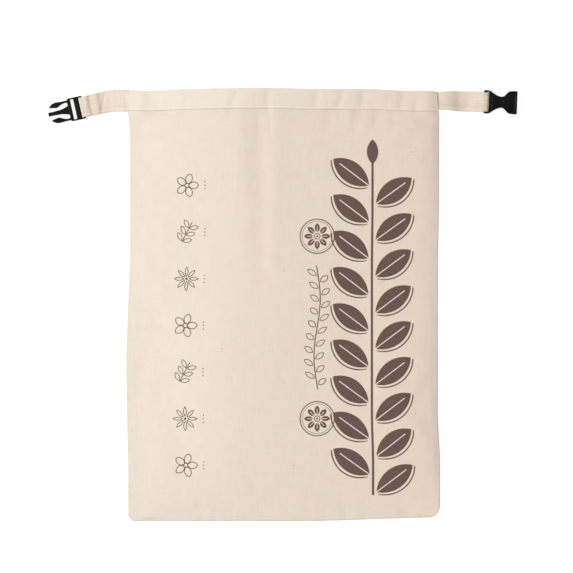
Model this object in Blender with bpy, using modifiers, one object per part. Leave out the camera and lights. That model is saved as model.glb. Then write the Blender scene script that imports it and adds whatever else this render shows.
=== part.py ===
"""A roll-top cotton bread bag with a side-release buckle, empty and lying flat, face up.

Metres, +Z up. The origin is on the surface, under the middle of the whole thing. +X runs from
the prong half of the buckle to the socket half, and +Y towards the mouth of the bag.
"""

import math

import bmesh
import bpy
import numpy as np

MM = 0.001

# The bag: two cotton panels, sewn round the sides and the bottom, open at the mouth
HALF_WIDTH = 150 * MM
TOP_Y = 208 * MM
BOTTOM_Y = -209 * MM
CLOTH = 1.0 * MM
HEM_CLOTH = 1.8 * MM  # cloth, turned twice at the mouth
HEM_DEPTH = 19.5 * MM
HEM_STEP = 0.7 * MM  # the width of the step at the hem's lower edge
HEM_SOFT = 9 * MM  # how far below the hem the body starts to rise to it
HEM_GROOVE_WIDTH = 2.2 * MM
CLEARANCE = 0.3 * MM  # between pieces that are sewn or lie together
PUFF = 7.6 * MM  # how far the panels stand apart in the middle
SIDE_POWER = 4  # a higher power keeps the panels apart nearer to the side seams
BOTTOM_CLOSING = 150 * MM  # the length over which the panels come together at the bottom
MOUTH_SINK = 0.13  # the share of the puff that is lost at the mouth
MOUTH_SINK_FROM = 80 * MM
EDGE_LIFT = 0.7 * MM  # the seams curl up off the surface
EDGE_LIFT_WIDTH = 8 * MM
EDGE_LINE = 3.5 * MM  # a grid line this far inside the sewn edges, on both panels
HEM_GROOVE = 0.3 * MM  # under the back panel, at the hem's lower edge
WAVE = 0.35 * MM

# Rounded corners of both panels: side, end, radius
CORNERS = (
    {"side": -1, "end": -1, "radius": 9 * MM},
    {"side": 1, "end": -1, "radius": 12 * MM},
    {"side": -1, "end": 1, "radius": 3 * MM},
    {"side": 1, "end": 1, "radius": 6 * MM},
)

# How far each edge stands outside the plain rectangle: (place along the edge, outwards), mm
LEFT_EDGE = ((-209, 0), (-160, 0), (-112, 1), (-54, 2), (5, 0), (43, -1.9), (150, -1.9),
             (179, -0.9), (187, 1.6), (208, 2))
RIGHT_EDGE = ((-209, 2), (-150, 2), (-131, 1), (-112, 0), (43, 0), (91, 1), (179, 1), (208, 2))
TOP_EDGE = ((-150, -0.1), (-129, -1.1), (-100, 0.7), (-42, 1.8), (-7, 1.8), (28, 0.8), (86, 0.8),
            (121, -1.1), (150, -1.1))
BOTTOM_EDGE = ((-150, 0.3), (28, 0.3), (63, -0.6), (86, -1.6), (121, -2.6), (150, -3.6))

# Folds of the front panel, mm: from (x, y) to (x, y), half its width, and its depth (minus: a ridge)
FOLDS = (
    (-30, 186, -29, 30, 9.0, 1.0),
    (-44, 182, -41, 50, 8.0, -0.5),
    (-8, 182, -12, 40, 10.0, -0.4),
    (-14, 208, -15, 191, 5.0, 0.4),
    (31, 208, 28, 190, 6.0, 0.6),
    (55, 208, 51, 189, 6.0, 0.7),
    (77, 208, 73, 188, 6.0, 0.7),
    (115, 206, 111, 188, 6.0, 0.8),
    (135, 205, 130, 188, 5.0, 0.6),
    (43, 187, 41, 172, 6.0, 0.5),
    (71, 187, 68, 170, 6.0, 0.6),
    (89, 186, 87, 172, 6.0, 0.5),
    (136, 176, 117, 155, 6.0, 0.6),
    (144, -72, 132, -92, 6.0, 0.4),
    (143, -124, 130, -108, 6.0, 0.4),
    (-120, -20, -96, -150, 16.0, 0.5),
    (60, 40, 84, -140, 18.0, 0.5),
)

# The grids that the two panels are made on
FRONT_COLUMNS = 28
FRONT_ROWS = 26
BACK_COLUMNS = 10
BACK_ROWS = 12
EDGE_CROWDING = 1.1  # radians of a sine that draws the grid lines towards the edges
PLEAT_REACH = 6 * MM  # a grid line nearer than this to a pleat is moved onto it

# The straps: flat cotton tape, one end in the side seam, the other folded round a buckle's bar
STRAP_WIDTH = 20.4 * MM
STRAP_IN_SLOT = 19.0 * MM
STRAP_CLOTH = 1.2 * MM
STRAP_Y = 197.0 * MM
STRAP_CAUGHT = 8.5 * MM  # the length that is caught between the panels
BAG_SIDE_X = 152 * MM  # the side seam at the height of the straps
RETURN_LENGTH = 19 * MM  # the end that is folded back under the strap
LEFT_TURN = math.radians(12.5)
LEFT_TURN_AT = 24.5 * MM  # from the strap's inner end
LEFT_TURN_LENGTH = 10 * MM
RIGHT_TURN = math.radians(-1.5)

# Heights of the middle of each strap: (distance from its inner end, height), mm
LEFT_RUN = ((0, 2.7), (6, 2.7), (9, 2.65), (12, 2.0), (15, 1.45), (19, 1.35), (24, 1.8), (28, 2.1),
            (33, 2.12), (40, 2.12), (43.5, 2.4), (46.5, 3.7))
RIGHT_RUN = ((0, 2.7), (6, 2.7), (10, 2.6), (13.3, 2.65), (17, 1.8), (21, 1.35), (25, 1.6),
             (29, 2.05), (34, 2.12), (39, 2.2), (42.5, 2.9), (45.5, 4.5))

# The prong half of the buckle: U runs from the strap to the tips, V across, Z up
PRONG_HALF_X = -192.0 * MM
PRONG_HALF_Y = 191.6 * MM
FRAME_HALF_WIDTH = 11.2 * MM
FRAME_LENGTH = 15.7 * MM
FRAME_HEIGHT = 4.5 * MM
OUTER_BAR = 2.5 * MM
OUTER_BAR_LOW = 1.7 * MM
OUTER_BAR_HIGH = 3.9 * MM
OUTER_SLOT_END = 4.9 * MM
RIBBED_BAR_END = 9.3 * MM
INNER_SLOT_END = 13.5 * MM
SLOT_HALF_LENGTH = 9.8 * MM
PRONG_LOW = 0.65 * MM
PRONG_HEIGHT = 3.2 * MM
RIB_COUNT = 3
RIB_WIDTH = 0.6 * MM
RIB_HEIGHT = 0.35 * MM

# Half the outline of the three prongs, mm: along, across, corner radius
PRONG_OUTLINE = (
    (35.4, 0.0, 0.0), (35.4, 1.75, 0.7), (31.6, 1.5, 2.0), (22.6, 1.85, 4.0), (16.4, 3.0, 1.5),
    (15.4, 4.2, 0.0), (15.4, 7.2, 0.0), (17.1, 8.1, 1.0), (20.7, 7.6, 3.0), (23.4, 6.5, 3.0),
    (26.3, 4.9, 0.6), (33.2, 6.1, 0.5), (33.5, 7.1, 0.6), (30.3, 9.3, 3.0), (26.6, 10.0, 4.0),
    (21.3, 9.6, 6.0), (13.9, 9.8, 0.0), (13.9, 0.0, 0.0),
)

# The socket half of the buckle: P runs from the strap to the mouth
SOCKET_HALF_X = 193.3 * MM
SOCKET_HALF_Y = 196.45 * MM
SOCKET_HEIGHT = 8.5 * MM
SOCKET_BAR_START = 0.8 * MM
SOCKET_BAR_END = 4.0 * MM
SOCKET_BAR_LOW = 2.9 * MM
SOCKET_BAR_HIGH = 5.3 * MM
CAVITY_WIDTH = 19.0 * MM
CAVITY_HEIGHT = 4.7 * MM
CAVITY_START = 11.5 * MM
SOCKET_LENGTH = 33.5 * MM
COLLAR_GROOVE_AT = 30.8 * MM
COLLAR_GROOVE_WIDTH = 0.6 * MM
COLLAR_GROOVE_DEPTH = 0.35 * MM

# Half the socket's outline, and half its strap slot, mm: along, across, corner radius
SOCKET_OUTLINE = (
    (0.8, 0.0, 0.0), (0.8, 11.2, 1.6), (6.2, 11.2, 2.0), (9.6, 8.8, 3.0), (12.7, 6.6, 4.0),
    (15.7, 5.1, 3.0), (18.5, 4.6, 2.5), (20.7, 5.6, 2.5), (22.5, 7.8, 3.0), (24.4, 10.0, 2.5),
    (26.4, 10.9, 2.5), (33.5, 11.35, 1.0), (33.5, 0.0, 0.0),
)
SOCKET_SLOT = ((4.0, 0.0, 0.0), (4.0, 9.8, 0.5), (6.4, 9.8, 0.8), (9.0, 6.9, 0.8), (9.0, 0.0, 0.0))
RIM_ROUNDING = 0.45 * MM
PRONG_ROUNDING = 0.3 * MM

ARC_STEP = math.radians(32)  # the angle between the points of an arc


def clear_scene():
    """Empties the scene that the file was opened with."""
    for old in list(bpy.data.objects):
        bpy.data.objects.remove(old, do_unlink=True)


def collection_named(name):
    """A new collection in the scene."""
    made = bpy.data.collections.new(name)
    bpy.context.scene.collection.children.link(made)
    return made


def finish_named(name, colour, roughness):
    """A plain material."""
    made = bpy.data.materials.new(name)
    made.use_nodes = True
    shader = made.node_tree.nodes["Principled BSDF"]
    shader.inputs["Base Color"].default_value = (*colour, 1)
    shader.inputs["Roughness"].default_value = roughness
    shader.inputs["Metallic"].default_value = 0
    return made


def object_from(bm, name, collection, finish):
    """A smooth-shaded object made of a bmesh."""
    mesh = bpy.data.meshes.new(name)
    bm.to_mesh(mesh)
    bm.free()
    mesh.shade_smooth()
    mesh.set_sharp_from_angle(angle=math.radians(40))
    made = bpy.data.objects.new(name, mesh)
    collection.objects.link(made)
    made.data.materials.append(finish)
    return made


def eased(t):
    """0 below 0, 1 above 1, and a smooth rise between."""
    t = min(max(t, 0.0), 1.0)
    return t * t * (3 - 2 * t)


def read_along(rows, place):
    """The value of a table of (place, value) rows in mm at this place, in metres."""
    places = [row[0] for row in rows]
    values = [row[1] for row in rows]
    return float(np.interp(place / MM, places, values)) * MM


def graded(low, high, count):
    """Grid lines from low to high, closer together towards both ends."""
    turns = np.linspace(-EDGE_CROWDING, EDGE_CROWDING, count + 1)
    shares = np.sin(turns) / math.sin(EDGE_CROWDING)
    return [(low + high) / 2 + (high - low) / 2 * share for share in shares]


def panel_columns(count):
    """Grid lines up a panel, with two at fixed distances inside each sewn side."""
    flat = HALF_WIDTH - EDGE_LIFT_WIDTH
    near = HALF_WIDTH - EDGE_LINE
    return [-HALF_WIDTH, -near, *graded(-flat, flat, count), near, HALF_WIDTH]


def drawn_to(lines, targets, reach):
    """The grid lines, with the one nearest to each target moved onto it."""
    moved = list(lines)
    for target in targets:
        nearest = min(range(1, len(moved) - 1), key=lambda k: abs(moved[k] - target))
        if abs(moved[nearest] - target) < reach:
            moved[nearest] = target
    return moved


def hem_edge():
    """The height along Y of the hem's lower edge, in grid coordinates."""
    return TOP_Y - HEM_DEPTH


def panel_rows(count):
    """Grid lines across a panel, with close ones at the hem's lower edge."""
    step = hem_edge()
    body = graded(BOTTOM_Y + EDGE_LIFT_WIDTH, step - HEM_SOFT, count)
    above = [step - HEM_SOFT / 2, step - HEM_STEP, step, step + HEM_DEPTH / 2, TOP_Y]
    return [BOTTOM_Y, BOTTOM_Y + EDGE_LINE, *body, *above]


def rounded_corner(x, y):
    """Moves a grid point near a corner so that the corner follows an arc."""
    for corner in CORNERS:
        radius = corner["radius"]
        end_y = TOP_Y if corner["end"] > 0 else BOTTOM_Y
        inner_x = corner["side"] * (HALF_WIDTH - radius)
        inner_y = end_y - corner["end"] * radius
        across = corner["side"] * (x - inner_x) / radius
        up = corner["end"] * (y - inner_y) / radius
        if across > 0 and up > 0:
            x = inner_x + corner["side"] * radius * across * math.sqrt(1 - up * up / 2)
            y = inner_y + corner["end"] * radius * up * math.sqrt(1 - across * across / 2)
            break
    return x, y


def outline_point(x, y):
    """Where a point of the plain rectangle lies on the bag as it is laid."""
    x, y = rounded_corner(x, y)
    edge_x = read_along(RIGHT_EDGE if x > 0 else LEFT_EDGE, y)
    edge_y = read_along(TOP_EDGE, x) if y > 0 else -read_along(BOTTOM_EDGE, x)
    end_y = TOP_Y if y > 0 else -BOTTOM_Y
    return x + edge_x * x / HALF_WIDTH, y + edge_y * abs(y) / end_y


def edge_distance(x, y):
    """How far a grid point is from the nearest sewn edge."""
    return min(HALF_WIDTH - abs(x), y - BOTTOM_Y)


def at_straps(x, y):
    """1 beside the straps' caught ends and 0 away from them."""
    along_y = eased((y - hem_edge() + HEM_SOFT) / (HEM_SOFT - 2 * MM))
    along_x = eased((abs(x) - HALF_WIDTH + 3 * STRAP_CAUGHT) / (1.6 * STRAP_CAUGHT))
    return along_x * along_y


def curled_up(x, y):
    """The height of the back panel's underside over the surface."""
    share = max(0.0, 1 - edge_distance(x, y) / EDGE_LIFT_WIDTH)
    return EDGE_LIFT * share * share * (1 - at_straps(x, y))


def hem_rise(y):
    """How much thicker the back panel is under this point, with a soft start."""
    return (HEM_CLOTH - CLOTH) * eased((y - hem_edge() + HEM_SOFT) / (HEM_SOFT - MM))


def puff(x, y):
    """How far the two panels stand apart because of the air between them."""
    side = abs(x) / HALF_WIDTH
    low = max(0.0, (BOTTOM_Y + BOTTOM_CLOSING - y) / BOTTOM_CLOSING)
    high = max(0.0, (y - MOUTH_SINK_FROM) / (TOP_Y - MOUTH_SINK_FROM))
    closed = (1 - side**SIDE_POWER) * (1 - low**4)
    return closed * (1 - MOUTH_SINK * high * high)


def fold_depth(x, y):
    """The depth of all soft folds at a point of the front panel."""
    depth = 0.0
    for x0, y0, x1, y1, half_width, fold in FOLDS:
        run_x, run_y = (x1 - x0) * MM, (y1 - y0) * MM
        run = math.hypot(run_x, run_y)
        ahead_x, ahead_y = x - x0 * MM, y - y0 * MM
        along = (ahead_x * run_x + ahead_y * run_y) / run
        beside = (ahead_x * run_y - ahead_y * run_x) / run
        past = max(0.0, -along, along - run)
        spread = math.hypot(beside, past) / (half_width * MM)
        depth += fold * MM * math.exp(-spread * spread)
    return depth


def slow_wave(x, y):
    """The uneven rise and fall of cloth that was smoothed out by hand."""
    first = math.sin(x / (31 * MM) + 0.7) * math.sin(y / (44 * MM) + 0.4)
    second = math.sin((x + y) / (57 * MM) + 2.1)
    return WAVE * (first + 0.7 * second)


def front_height(x, y):
    """The height of the front panel's inner face."""
    apart = puff(x, y)
    seated = curled_up(x, y) + CLOTH + hem_rise(y) + CLEARANCE
    pocket = (STRAP_CLOTH + CLEARANCE + 0.1 * MM) * at_straps(x, y)
    soft = min(1.0, apart * 2)
    return seated + pocket + PUFF * apart + soft * (slow_wave(x, y) - fold_depth(x, y))


def back_height(x, y):
    """The height of the back panel's underside, with a groove at the hem's lower edge."""
    from_step = (y - hem_edge() + HEM_STEP / 2) / HEM_GROOVE_WIDTH
    groove = HEM_GROOVE * math.exp(-from_step * from_step)
    return curled_up(x, y) + groove * (1 - at_straps(x, y))


def panel(name, columns, rows, height, collection, finish):
    """A cotton panel: a grid laid on its heights and thickened upwards, more so in the hem."""
    bm = bmesh.new()
    bmesh.ops.create_grid(
        bm, x_segments=len(columns) - 1, y_segments=len(rows) - 1, size=1
    )
    weights = bm.verts.layers.deform.verify()
    for vert in bm.verts:
        x = columns[round((vert.co.x + 1) / 2 * (len(columns) - 1))]
        y = rows[round((vert.co.y + 1) / 2 * (len(rows) - 1))]
        in_hem = y > hem_edge() - HEM_STEP / 2
        vert[weights][0] = 1.0 if in_hem else CLOTH / HEM_CLOTH
        vert.co = (*outline_point(x, y), height(x, y))
    made = object_from(bm, name, collection, finish)
    made.vertex_groups.new(name="thickness")
    solid = made.modifiers.new("thickness", "SOLIDIFY")
    solid.thickness = HEM_CLOTH
    solid.offset = 1
    solid.use_even_offset = True
    solid.vertex_group = "thickness"
    return made


def front_panel(collection, finish):
    """The upper panel, with the folds that show."""
    pleats = [row[0] * MM for row in FOLDS if row[1] > hem_edge() / MM]
    columns = drawn_to(panel_columns(FRONT_COLUMNS), pleats, PLEAT_REACH)
    return panel(
        "front_panel", columns, panel_rows(FRONT_ROWS), front_height, collection, finish
    )


def back_panel(collection, finish):
    """The lower panel, flat on the surface."""
    return panel(
        "back_panel", panel_columns(BACK_COLUMNS), panel_rows(BACK_ROWS), back_height, collection, finish
    )


def smooth_run(points, steps):
    """Points on a smooth curve through these points, with so many steps between two of them."""
    padded = [points[0], *points, points[-1]]
    made = []
    for k in range(len(points) - 1):
        a, b, c, d = (np.array(padded[k + n]) for n in range(4))
        for step in range(steps):
            t = step / steps
            made.append(
                0.5 * (2 * b + (c - a) * t + (2 * a - 5 * b + 4 * c - d) * t**2
                       + (3 * b - a - 3 * c + d) * t**3)
            )
    return [*made, np.array(points[-1])]


def arc(centre, radius, start, end):
    """Points on an arc in a strap's side view, from one angle to another."""
    count = max(2, round(abs(end - start) / ARC_STEP))
    return [
        np.array((centre[0] + radius * math.cos(a), centre[1] + radius * math.sin(a)))
        for a in np.linspace(start, end, count + 1)
    ]


def strap_profile(run, bar_start, bar_end, bar_low, bar_high):
    """A strap's side view: in from the seam, over the bar, round it, and back underneath."""
    corner = 0.5 * MM
    off_bar = CLEARANCE + STRAP_CLOTH / 2
    turn = corner + off_bar
    over = bar_high + off_bar
    under = bar_low - off_bar
    on_floor = STRAP_CLOTH / 2 + 0.05 * MM
    free = smooth_run([(d * MM, z * MM) for d, z in run], 2)
    climb = [np.array((bar_start + 0.3 * MM, over))]
    high_turn = arc((bar_end - corner, over - turn), turn, math.pi / 2, 0)
    low_turn = arc((bar_end - corner, under + turn), turn, 0, -math.pi / 2)
    back = smooth_run(
        [
            (bar_start, under),
            (bar_start - 3.5 * MM, max(on_floor, under - 0.9 * MM)),
            (bar_start - 7 * MM, on_floor),
            (bar_start - RETURN_LENGTH / 2 - 3 * MM, on_floor),
            (bar_start - RETURN_LENGTH, on_floor),
        ],
        2,
    )
    return free + climb + high_turn + low_turn + back


def strap_place(distance, side, turn_at, turn_length, turn):
    """Where the middle of a strap is, seen from above, and its sideways direction."""
    count = 24
    x, y, heading = side * (BAG_SIDE_X - STRAP_CAUGHT), STRAP_Y, 0.0
    for k in range(count):
        middle = distance * (k + 0.5) / count
        heading = turn * eased((middle - turn_at) / turn_length + 0.5)
        x += side * math.cos(heading) * distance / count
        y -= math.sin(heading) * distance / count
    heading = turn * eased((distance - turn_at) / turn_length + 0.5)
    return x, y, math.sin(heading) * side, math.cos(heading)


def strap(name, side, profile, slot_at, turn_at, turn_length, turn, collection, finish):
    """A length of tape laid along its side view and narrowed where it goes through the buckle."""
    across = 2
    bm = bmesh.new()
    bmesh.ops.create_grid(bm, x_segments=len(profile) - 1, y_segments=across, size=1)
    for vert in bm.verts:
        distance, z = profile[round((vert.co.x + 1) / 2 * (len(profile) - 1))]
        x, y, side_x, side_y = strap_place(distance, side, turn_at, turn_length, turn)
        pinched = eased((distance - slot_at + 6 * MM) / (5 * MM))
        width = STRAP_WIDTH + (STRAP_IN_SLOT - STRAP_WIDTH) * pinched
        off = vert.co.y * width / 2
        vert.co = (x + off * side_x, y + off * side_y, z)
    if side < 0:
        bmesh.ops.reverse_faces(bm, faces=bm.faces)
    made = object_from(bm, name, collection, finish)
    solid = made.modifiers.new("thickness", "SOLIDIFY")
    solid.thickness = STRAP_CLOTH
    solid.offset = 0
    solid.use_even_offset = True
    return made


def left_strap(collection, finish):
    """The strap that carries the prong half of the buckle."""
    bar_start = LEFT_TURN_AT + (
        (-PRONG_HALF_X - BAG_SIDE_X + STRAP_CAUGHT - LEFT_TURN_AT) / math.cos(LEFT_TURN)
    )
    profile = strap_profile(
        LEFT_RUN, bar_start, bar_start + OUTER_BAR, OUTER_BAR_LOW, OUTER_BAR_HIGH
    )
    return strap("left_strap", -1, profile, bar_start, LEFT_TURN_AT, LEFT_TURN_LENGTH,
                 LEFT_TURN, collection, finish)


def right_strap(collection, finish):
    """The strap that carries the socket half of the buckle."""
    bar_start = SOCKET_HALF_X + SOCKET_BAR_START - BAG_SIDE_X + STRAP_CAUGHT
    bar_end = bar_start + SOCKET_BAR_END - SOCKET_BAR_START
    profile = strap_profile(RIGHT_RUN, bar_start, bar_end, SOCKET_BAR_LOW, SOCKET_BAR_HIGH)
    return strap("right_strap", 1, profile, bar_start, bar_start / 2, bar_start,
                 -RIGHT_TURN, collection, finish)


def filleted(corners):
    """An outline of (along, across, radius) corners in mm, with each corner turned into an arc."""
    points = []
    for k, (along, across, radius) in enumerate(corners):
        here = np.array((along, across))
        before = np.array(corners[k - 1][:2]) - here
        after = np.array(corners[(k + 1) % len(corners)][:2]) - here
        before_length, after_length = np.linalg.norm(before), np.linalg.norm(after)
        before, after = before / before_length, after / after_length
        half_angle = math.acos(float(np.clip(before @ after, -1, 1))) / 2
        if radius == 0 or half_angle > math.radians(88):
            points.append(here)
            continue
        reach = min(radius / math.tan(half_angle), 0.45 * before_length, 0.45 * after_length)
        radius = reach * math.tan(half_angle)
        middle = before + after
        centre = here + middle / np.linalg.norm(middle) * radius / math.sin(half_angle)
        start, end = here + before * reach - centre, here + after * reach - centre
        sweep = math.atan2(start[0] * end[1] - start[1] * end[0], start @ end)
        count = max(1, round(abs(sweep) / ARC_STEP))
        for a in np.linspace(0, sweep, count + 1):
            turned = (
                start[0] * math.cos(a) - start[1] * math.sin(a),
                start[0] * math.sin(a) + start[1] * math.cos(a),
            )
            points.append(centre + turned)
    return [point * MM for point in points]


def mirrored(corners):
    """The whole outline of a half one that starts and ends on the middle line."""
    other = [(along, -across, radius) for along, across, radius in reversed(corners)]
    return [row for row in [*corners, *other] if row[1] != 0]


def flat_shape(name, outlines, low, high, rounding, collection, finish):
    """A plate with rounded rims, filled between its outline and the outlines of its holes."""
    curve = bpy.data.curves.new(name, "CURVE")
    curve.dimensions = "2D"
    curve.fill_mode = "BOTH"
    curve.extrude = (high - low) / 2 - rounding
    curve.bevel_depth = rounding
    curve.bevel_resolution = 0
    curve.offset = -rounding
    curve.render_resolution_u = 0
    for outline in outlines:
        spline = curve.splines.new("POLY")
        spline.points.add(len(outline) - 1)
        for point, (along, across) in zip(spline.points, outline):
            point.co = (along, across, 0, 1)
        spline.use_cyclic_u = True
    drawn = bpy.data.objects.new(name, curve)
    collection.objects.link(drawn)
    view = bpy.context.evaluated_depsgraph_get()
    mesh = bpy.data.meshes.new_from_object(drawn.evaluated_get(view))
    bpy.data.objects.remove(drawn, do_unlink=True)
    bm = bmesh.new()
    bm.from_mesh(mesh)
    bpy.data.meshes.remove(mesh)
    bmesh.ops.remove_doubles(bm, verts=bm.verts, dist=0.001 * MM)
    bmesh.ops.translate(bm, verts=bm.verts, vec=(0, 0, (low + high) / 2))
    return object_from(bm, name, collection, finish)


def block(name, low, high, collection):
    """A cutter: a box between two corners."""
    low, high = np.array(low), np.array(high)
    bm = bmesh.new()
    bmesh.ops.create_cube(bm, size=1)
    bmesh.ops.scale(bm, verts=bm.verts, vec=tuple(high - low))
    bmesh.ops.translate(bm, verts=bm.verts, vec=tuple((low + high) / 2))
    mesh = bpy.data.meshes.new(name)
    bm.to_mesh(mesh)
    bm.free()
    made = bpy.data.objects.new(name, mesh)
    made.hide_render = True
    made.display_type = "WIRE"
    collection.objects.link(made)
    return made


def joined(target, other, operation):
    """Cuts another shape from the target, or makes both one body."""
    step = target.modifiers.new(f"{operation.lower()} {other.name}", "BOOLEAN")
    step.operation = operation
    step.object = other
    step.solver = "EXACT"


def set_down(name, pieces, x, y, angle, collection):
    """Parents a buckle half and its cutters to an empty and lays them where they belong."""
    place = bpy.data.objects.new(name, None)
    collection.objects.link(place)
    place.location = (x, y, 0)
    place.rotation_euler = (0, 0, angle)
    for piece in pieces:
        piece.parent = place


def box_outline(start, end, half_length, radius):
    """The outline of a rectangle with rounded corners, in mm."""
    start, end, half_length = start / MM, end / MM, half_length / MM
    return filleted(
        [
            (start, -half_length, radius),
            (end, -half_length, radius),
            (end, half_length, radius),
            (start, half_length, radius),
        ]
    )


def prong_half(collection, cutters, finish):
    """The frame with its bars, the two sprung prongs and the guide between them."""
    frame = flat_shape(
        "male_buckle",
        [
            box_outline(0, FRAME_LENGTH, FRAME_HALF_WIDTH, 2.2),
            box_outline(OUTER_BAR, OUTER_SLOT_END, SLOT_HALF_LENGTH, 0.5),
            box_outline(RIBBED_BAR_END, INNER_SLOT_END, SLOT_HALF_LENGTH, 0.8),
        ],
        0,
        FRAME_HEIGHT,
        RIM_ROUNDING,
        collection,
        finish,
    )
    prongs = flat_shape(
        "prongs",
        [filleted(mirrored(PRONG_OUTLINE))],
        PRONG_LOW,
        PRONG_LOW + PRONG_HEIGHT,
        PRONG_ROUNDING,
        cutters,
        finish,
    )
    prongs.hide_render = True
    prongs.display_type = "WIRE"
    joined(frame, prongs, "UNION")
    past = 1 * MM
    reach = SLOT_HALF_LENGTH
    bar_end = OUTER_BAR + past
    ribs_start, ribs_end = OUTER_SLOT_END - past, RIBBED_BAR_END + past
    rib_base = FRAME_HEIGHT - 1.0 * MM
    cuts = [
        block("over_outer_bar", (-past, -reach, OUTER_BAR_HIGH),
              (bar_end, reach, FRAME_HEIGHT + past), cutters),
        block("under_outer_bar", (-past, -reach, -past), (bar_end, reach, OUTER_BAR_LOW), cutters),
        block("over_ribbed_bar", (ribs_start, -reach, rib_base),
              (ribs_end, reach, FRAME_HEIGHT + past), cutters),
        block("under_ribbed_bar", (ribs_start, -reach, -past), (ribs_end, reach, 0.8 * MM), cutters),
    ]
    for cut in cuts:
        joined(frame, cut, "DIFFERENCE")
    ribs = []
    pitch = (RIBBED_BAR_END - OUTER_SLOT_END) / (RIB_COUNT + 1)
    for k in range(RIB_COUNT):
        middle = OUTER_SLOT_END + pitch * (k + 1)
        ribs.append(
            block(f"rib_{k + 1}", (middle - RIB_WIDTH / 2, -reach - 0.5 * MM, rib_base - 0.2 * MM),
                  (middle + RIB_WIDTH / 2, reach + 0.5 * MM, rib_base + RIB_HEIGHT), cutters)
        )
        joined(frame, ribs[-1], "UNION")
    set_down("male_place", [frame, prongs, *cuts, *ribs], PRONG_HALF_X, PRONG_HALF_Y,
             math.pi + LEFT_TURN, collection)
    return frame


def socket_half(collection, cutters, finish):
    """The shell that the prongs snap into, open at its mouth and at both sides of its waist."""
    shell = flat_shape(
        "female_buckle",
        [filleted(mirrored(SOCKET_OUTLINE)), filleted(mirrored(SOCKET_SLOT))],
        0,
        SOCKET_HEIGHT,
        RIM_ROUNDING,
        collection,
        finish,
    )
    past = 1 * MM
    reach = SLOT_HALF_LENGTH
    middle = SOCKET_HEIGHT / 2
    groove_end = COLLAR_GROOVE_AT + COLLAR_GROOVE_WIDTH
    bar_end = SOCKET_BAR_END + past
    cuts = [
        block("cavity", (CAVITY_START, -CAVITY_WIDTH / 2, middle - CAVITY_HEIGHT / 2),
              (SOCKET_LENGTH + past, CAVITY_WIDTH / 2, middle + CAVITY_HEIGHT / 2), cutters),
        block("over_bar", (-past, -reach, SOCKET_BAR_HIGH),
              (bar_end, reach, SOCKET_HEIGHT + past), cutters),
        block("under_bar", (-past, -reach, -past), (bar_end, reach, SOCKET_BAR_LOW), cutters),
    ]
    for side, name in ((1, "collar_top"), (-1, "collar_base")):
        depth = middle - COLLAR_GROOVE_DEPTH
        near, far = sorted((middle + side * depth, middle + side * (middle + past)))
        cuts.append(
            block(name, (COLLAR_GROOVE_AT, -CAVITY_WIDTH, near), (groove_end, CAVITY_WIDTH, far), cutters)
        )
    for cut in cuts:
        joined(shell, cut, "DIFFERENCE")
    set_down("female_place", [shell, *cuts], SOCKET_HALF_X, SOCKET_HALF_Y, RIGHT_TURN, collection)
    return shell


def main():
    """Builds every piece."""
    clear_scene()
    bag = collection_named("bread_bag")
    cutters = collection_named("cutters")
    cotton = finish_named("unbleached_cotton", (0.831, 0.730, 0.631), 0.9)
    tape = finish_named("cotton_tape", (0.815, 0.708, 0.590), 0.9)
    plastic = finish_named("black_plastic", (0.0123, 0.0123, 0.0137), 0.45)
    back_panel(bag, cotton)
    front_panel(bag, cotton)
    left_strap(bag, tape)
    right_strap(bag, tape)
    prong_half(bag, cutters, plastic)
    socket_half(bag, cutters, plastic)


main()
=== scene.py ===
"""The looks of a roll-top cotton bread bag, laid out as an add-on and run as a script.

Metres, +Z up. The origin is on the surface, under the middle of the whole thing. +X runs from
the prong half of the buckle to the socket half, and +Y towards the mouth of the bag.
"""

import math

import bmesh
import bpy
import numpy as np
from bpy.props import FloatProperty, FloatVectorProperty, PointerProperty
from bpy.types import Operator, Panel, PropertyGroup
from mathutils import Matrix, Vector


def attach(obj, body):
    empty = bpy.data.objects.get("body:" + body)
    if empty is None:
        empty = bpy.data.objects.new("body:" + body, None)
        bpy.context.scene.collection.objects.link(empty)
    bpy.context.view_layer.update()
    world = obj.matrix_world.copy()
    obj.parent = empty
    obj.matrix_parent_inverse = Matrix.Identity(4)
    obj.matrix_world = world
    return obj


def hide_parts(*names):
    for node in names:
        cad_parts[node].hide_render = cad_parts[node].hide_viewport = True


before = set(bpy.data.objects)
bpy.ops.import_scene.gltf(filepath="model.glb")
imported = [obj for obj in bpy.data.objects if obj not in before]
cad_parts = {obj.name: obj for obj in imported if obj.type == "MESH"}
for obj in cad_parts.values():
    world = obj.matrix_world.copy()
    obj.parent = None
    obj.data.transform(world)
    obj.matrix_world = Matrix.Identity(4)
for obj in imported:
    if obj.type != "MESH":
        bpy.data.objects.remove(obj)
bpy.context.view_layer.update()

bl_info = {
    "name": "Bread bag",
    "version": (1, 0, 0),
    "blender": (4, 5, 0),
    "location": "View3D > Sidebar > Bread bag",
    "description": "Dresses a flat cotton bread bag with its cloth, stitches, print and buckle",
    "category": "Object",
}

MM = 0.001
BODY = "root"

# The plain rectangle that both cloths are laid out on
HALF_WIDTH = 150 * MM
TOP_Y = 208 * MM
BOTTOM_Y = -209 * MM
HEM_DEPTH = 19.5 * MM
HEM_STEP = 0.7 * MM  # the width of the step at the hem's lower edge
HEM_SOFT = 9 * MM  # how far below the hem the cloth starts to rise to it
HEM_EDGE = TOP_Y - HEM_DEPTH

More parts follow.
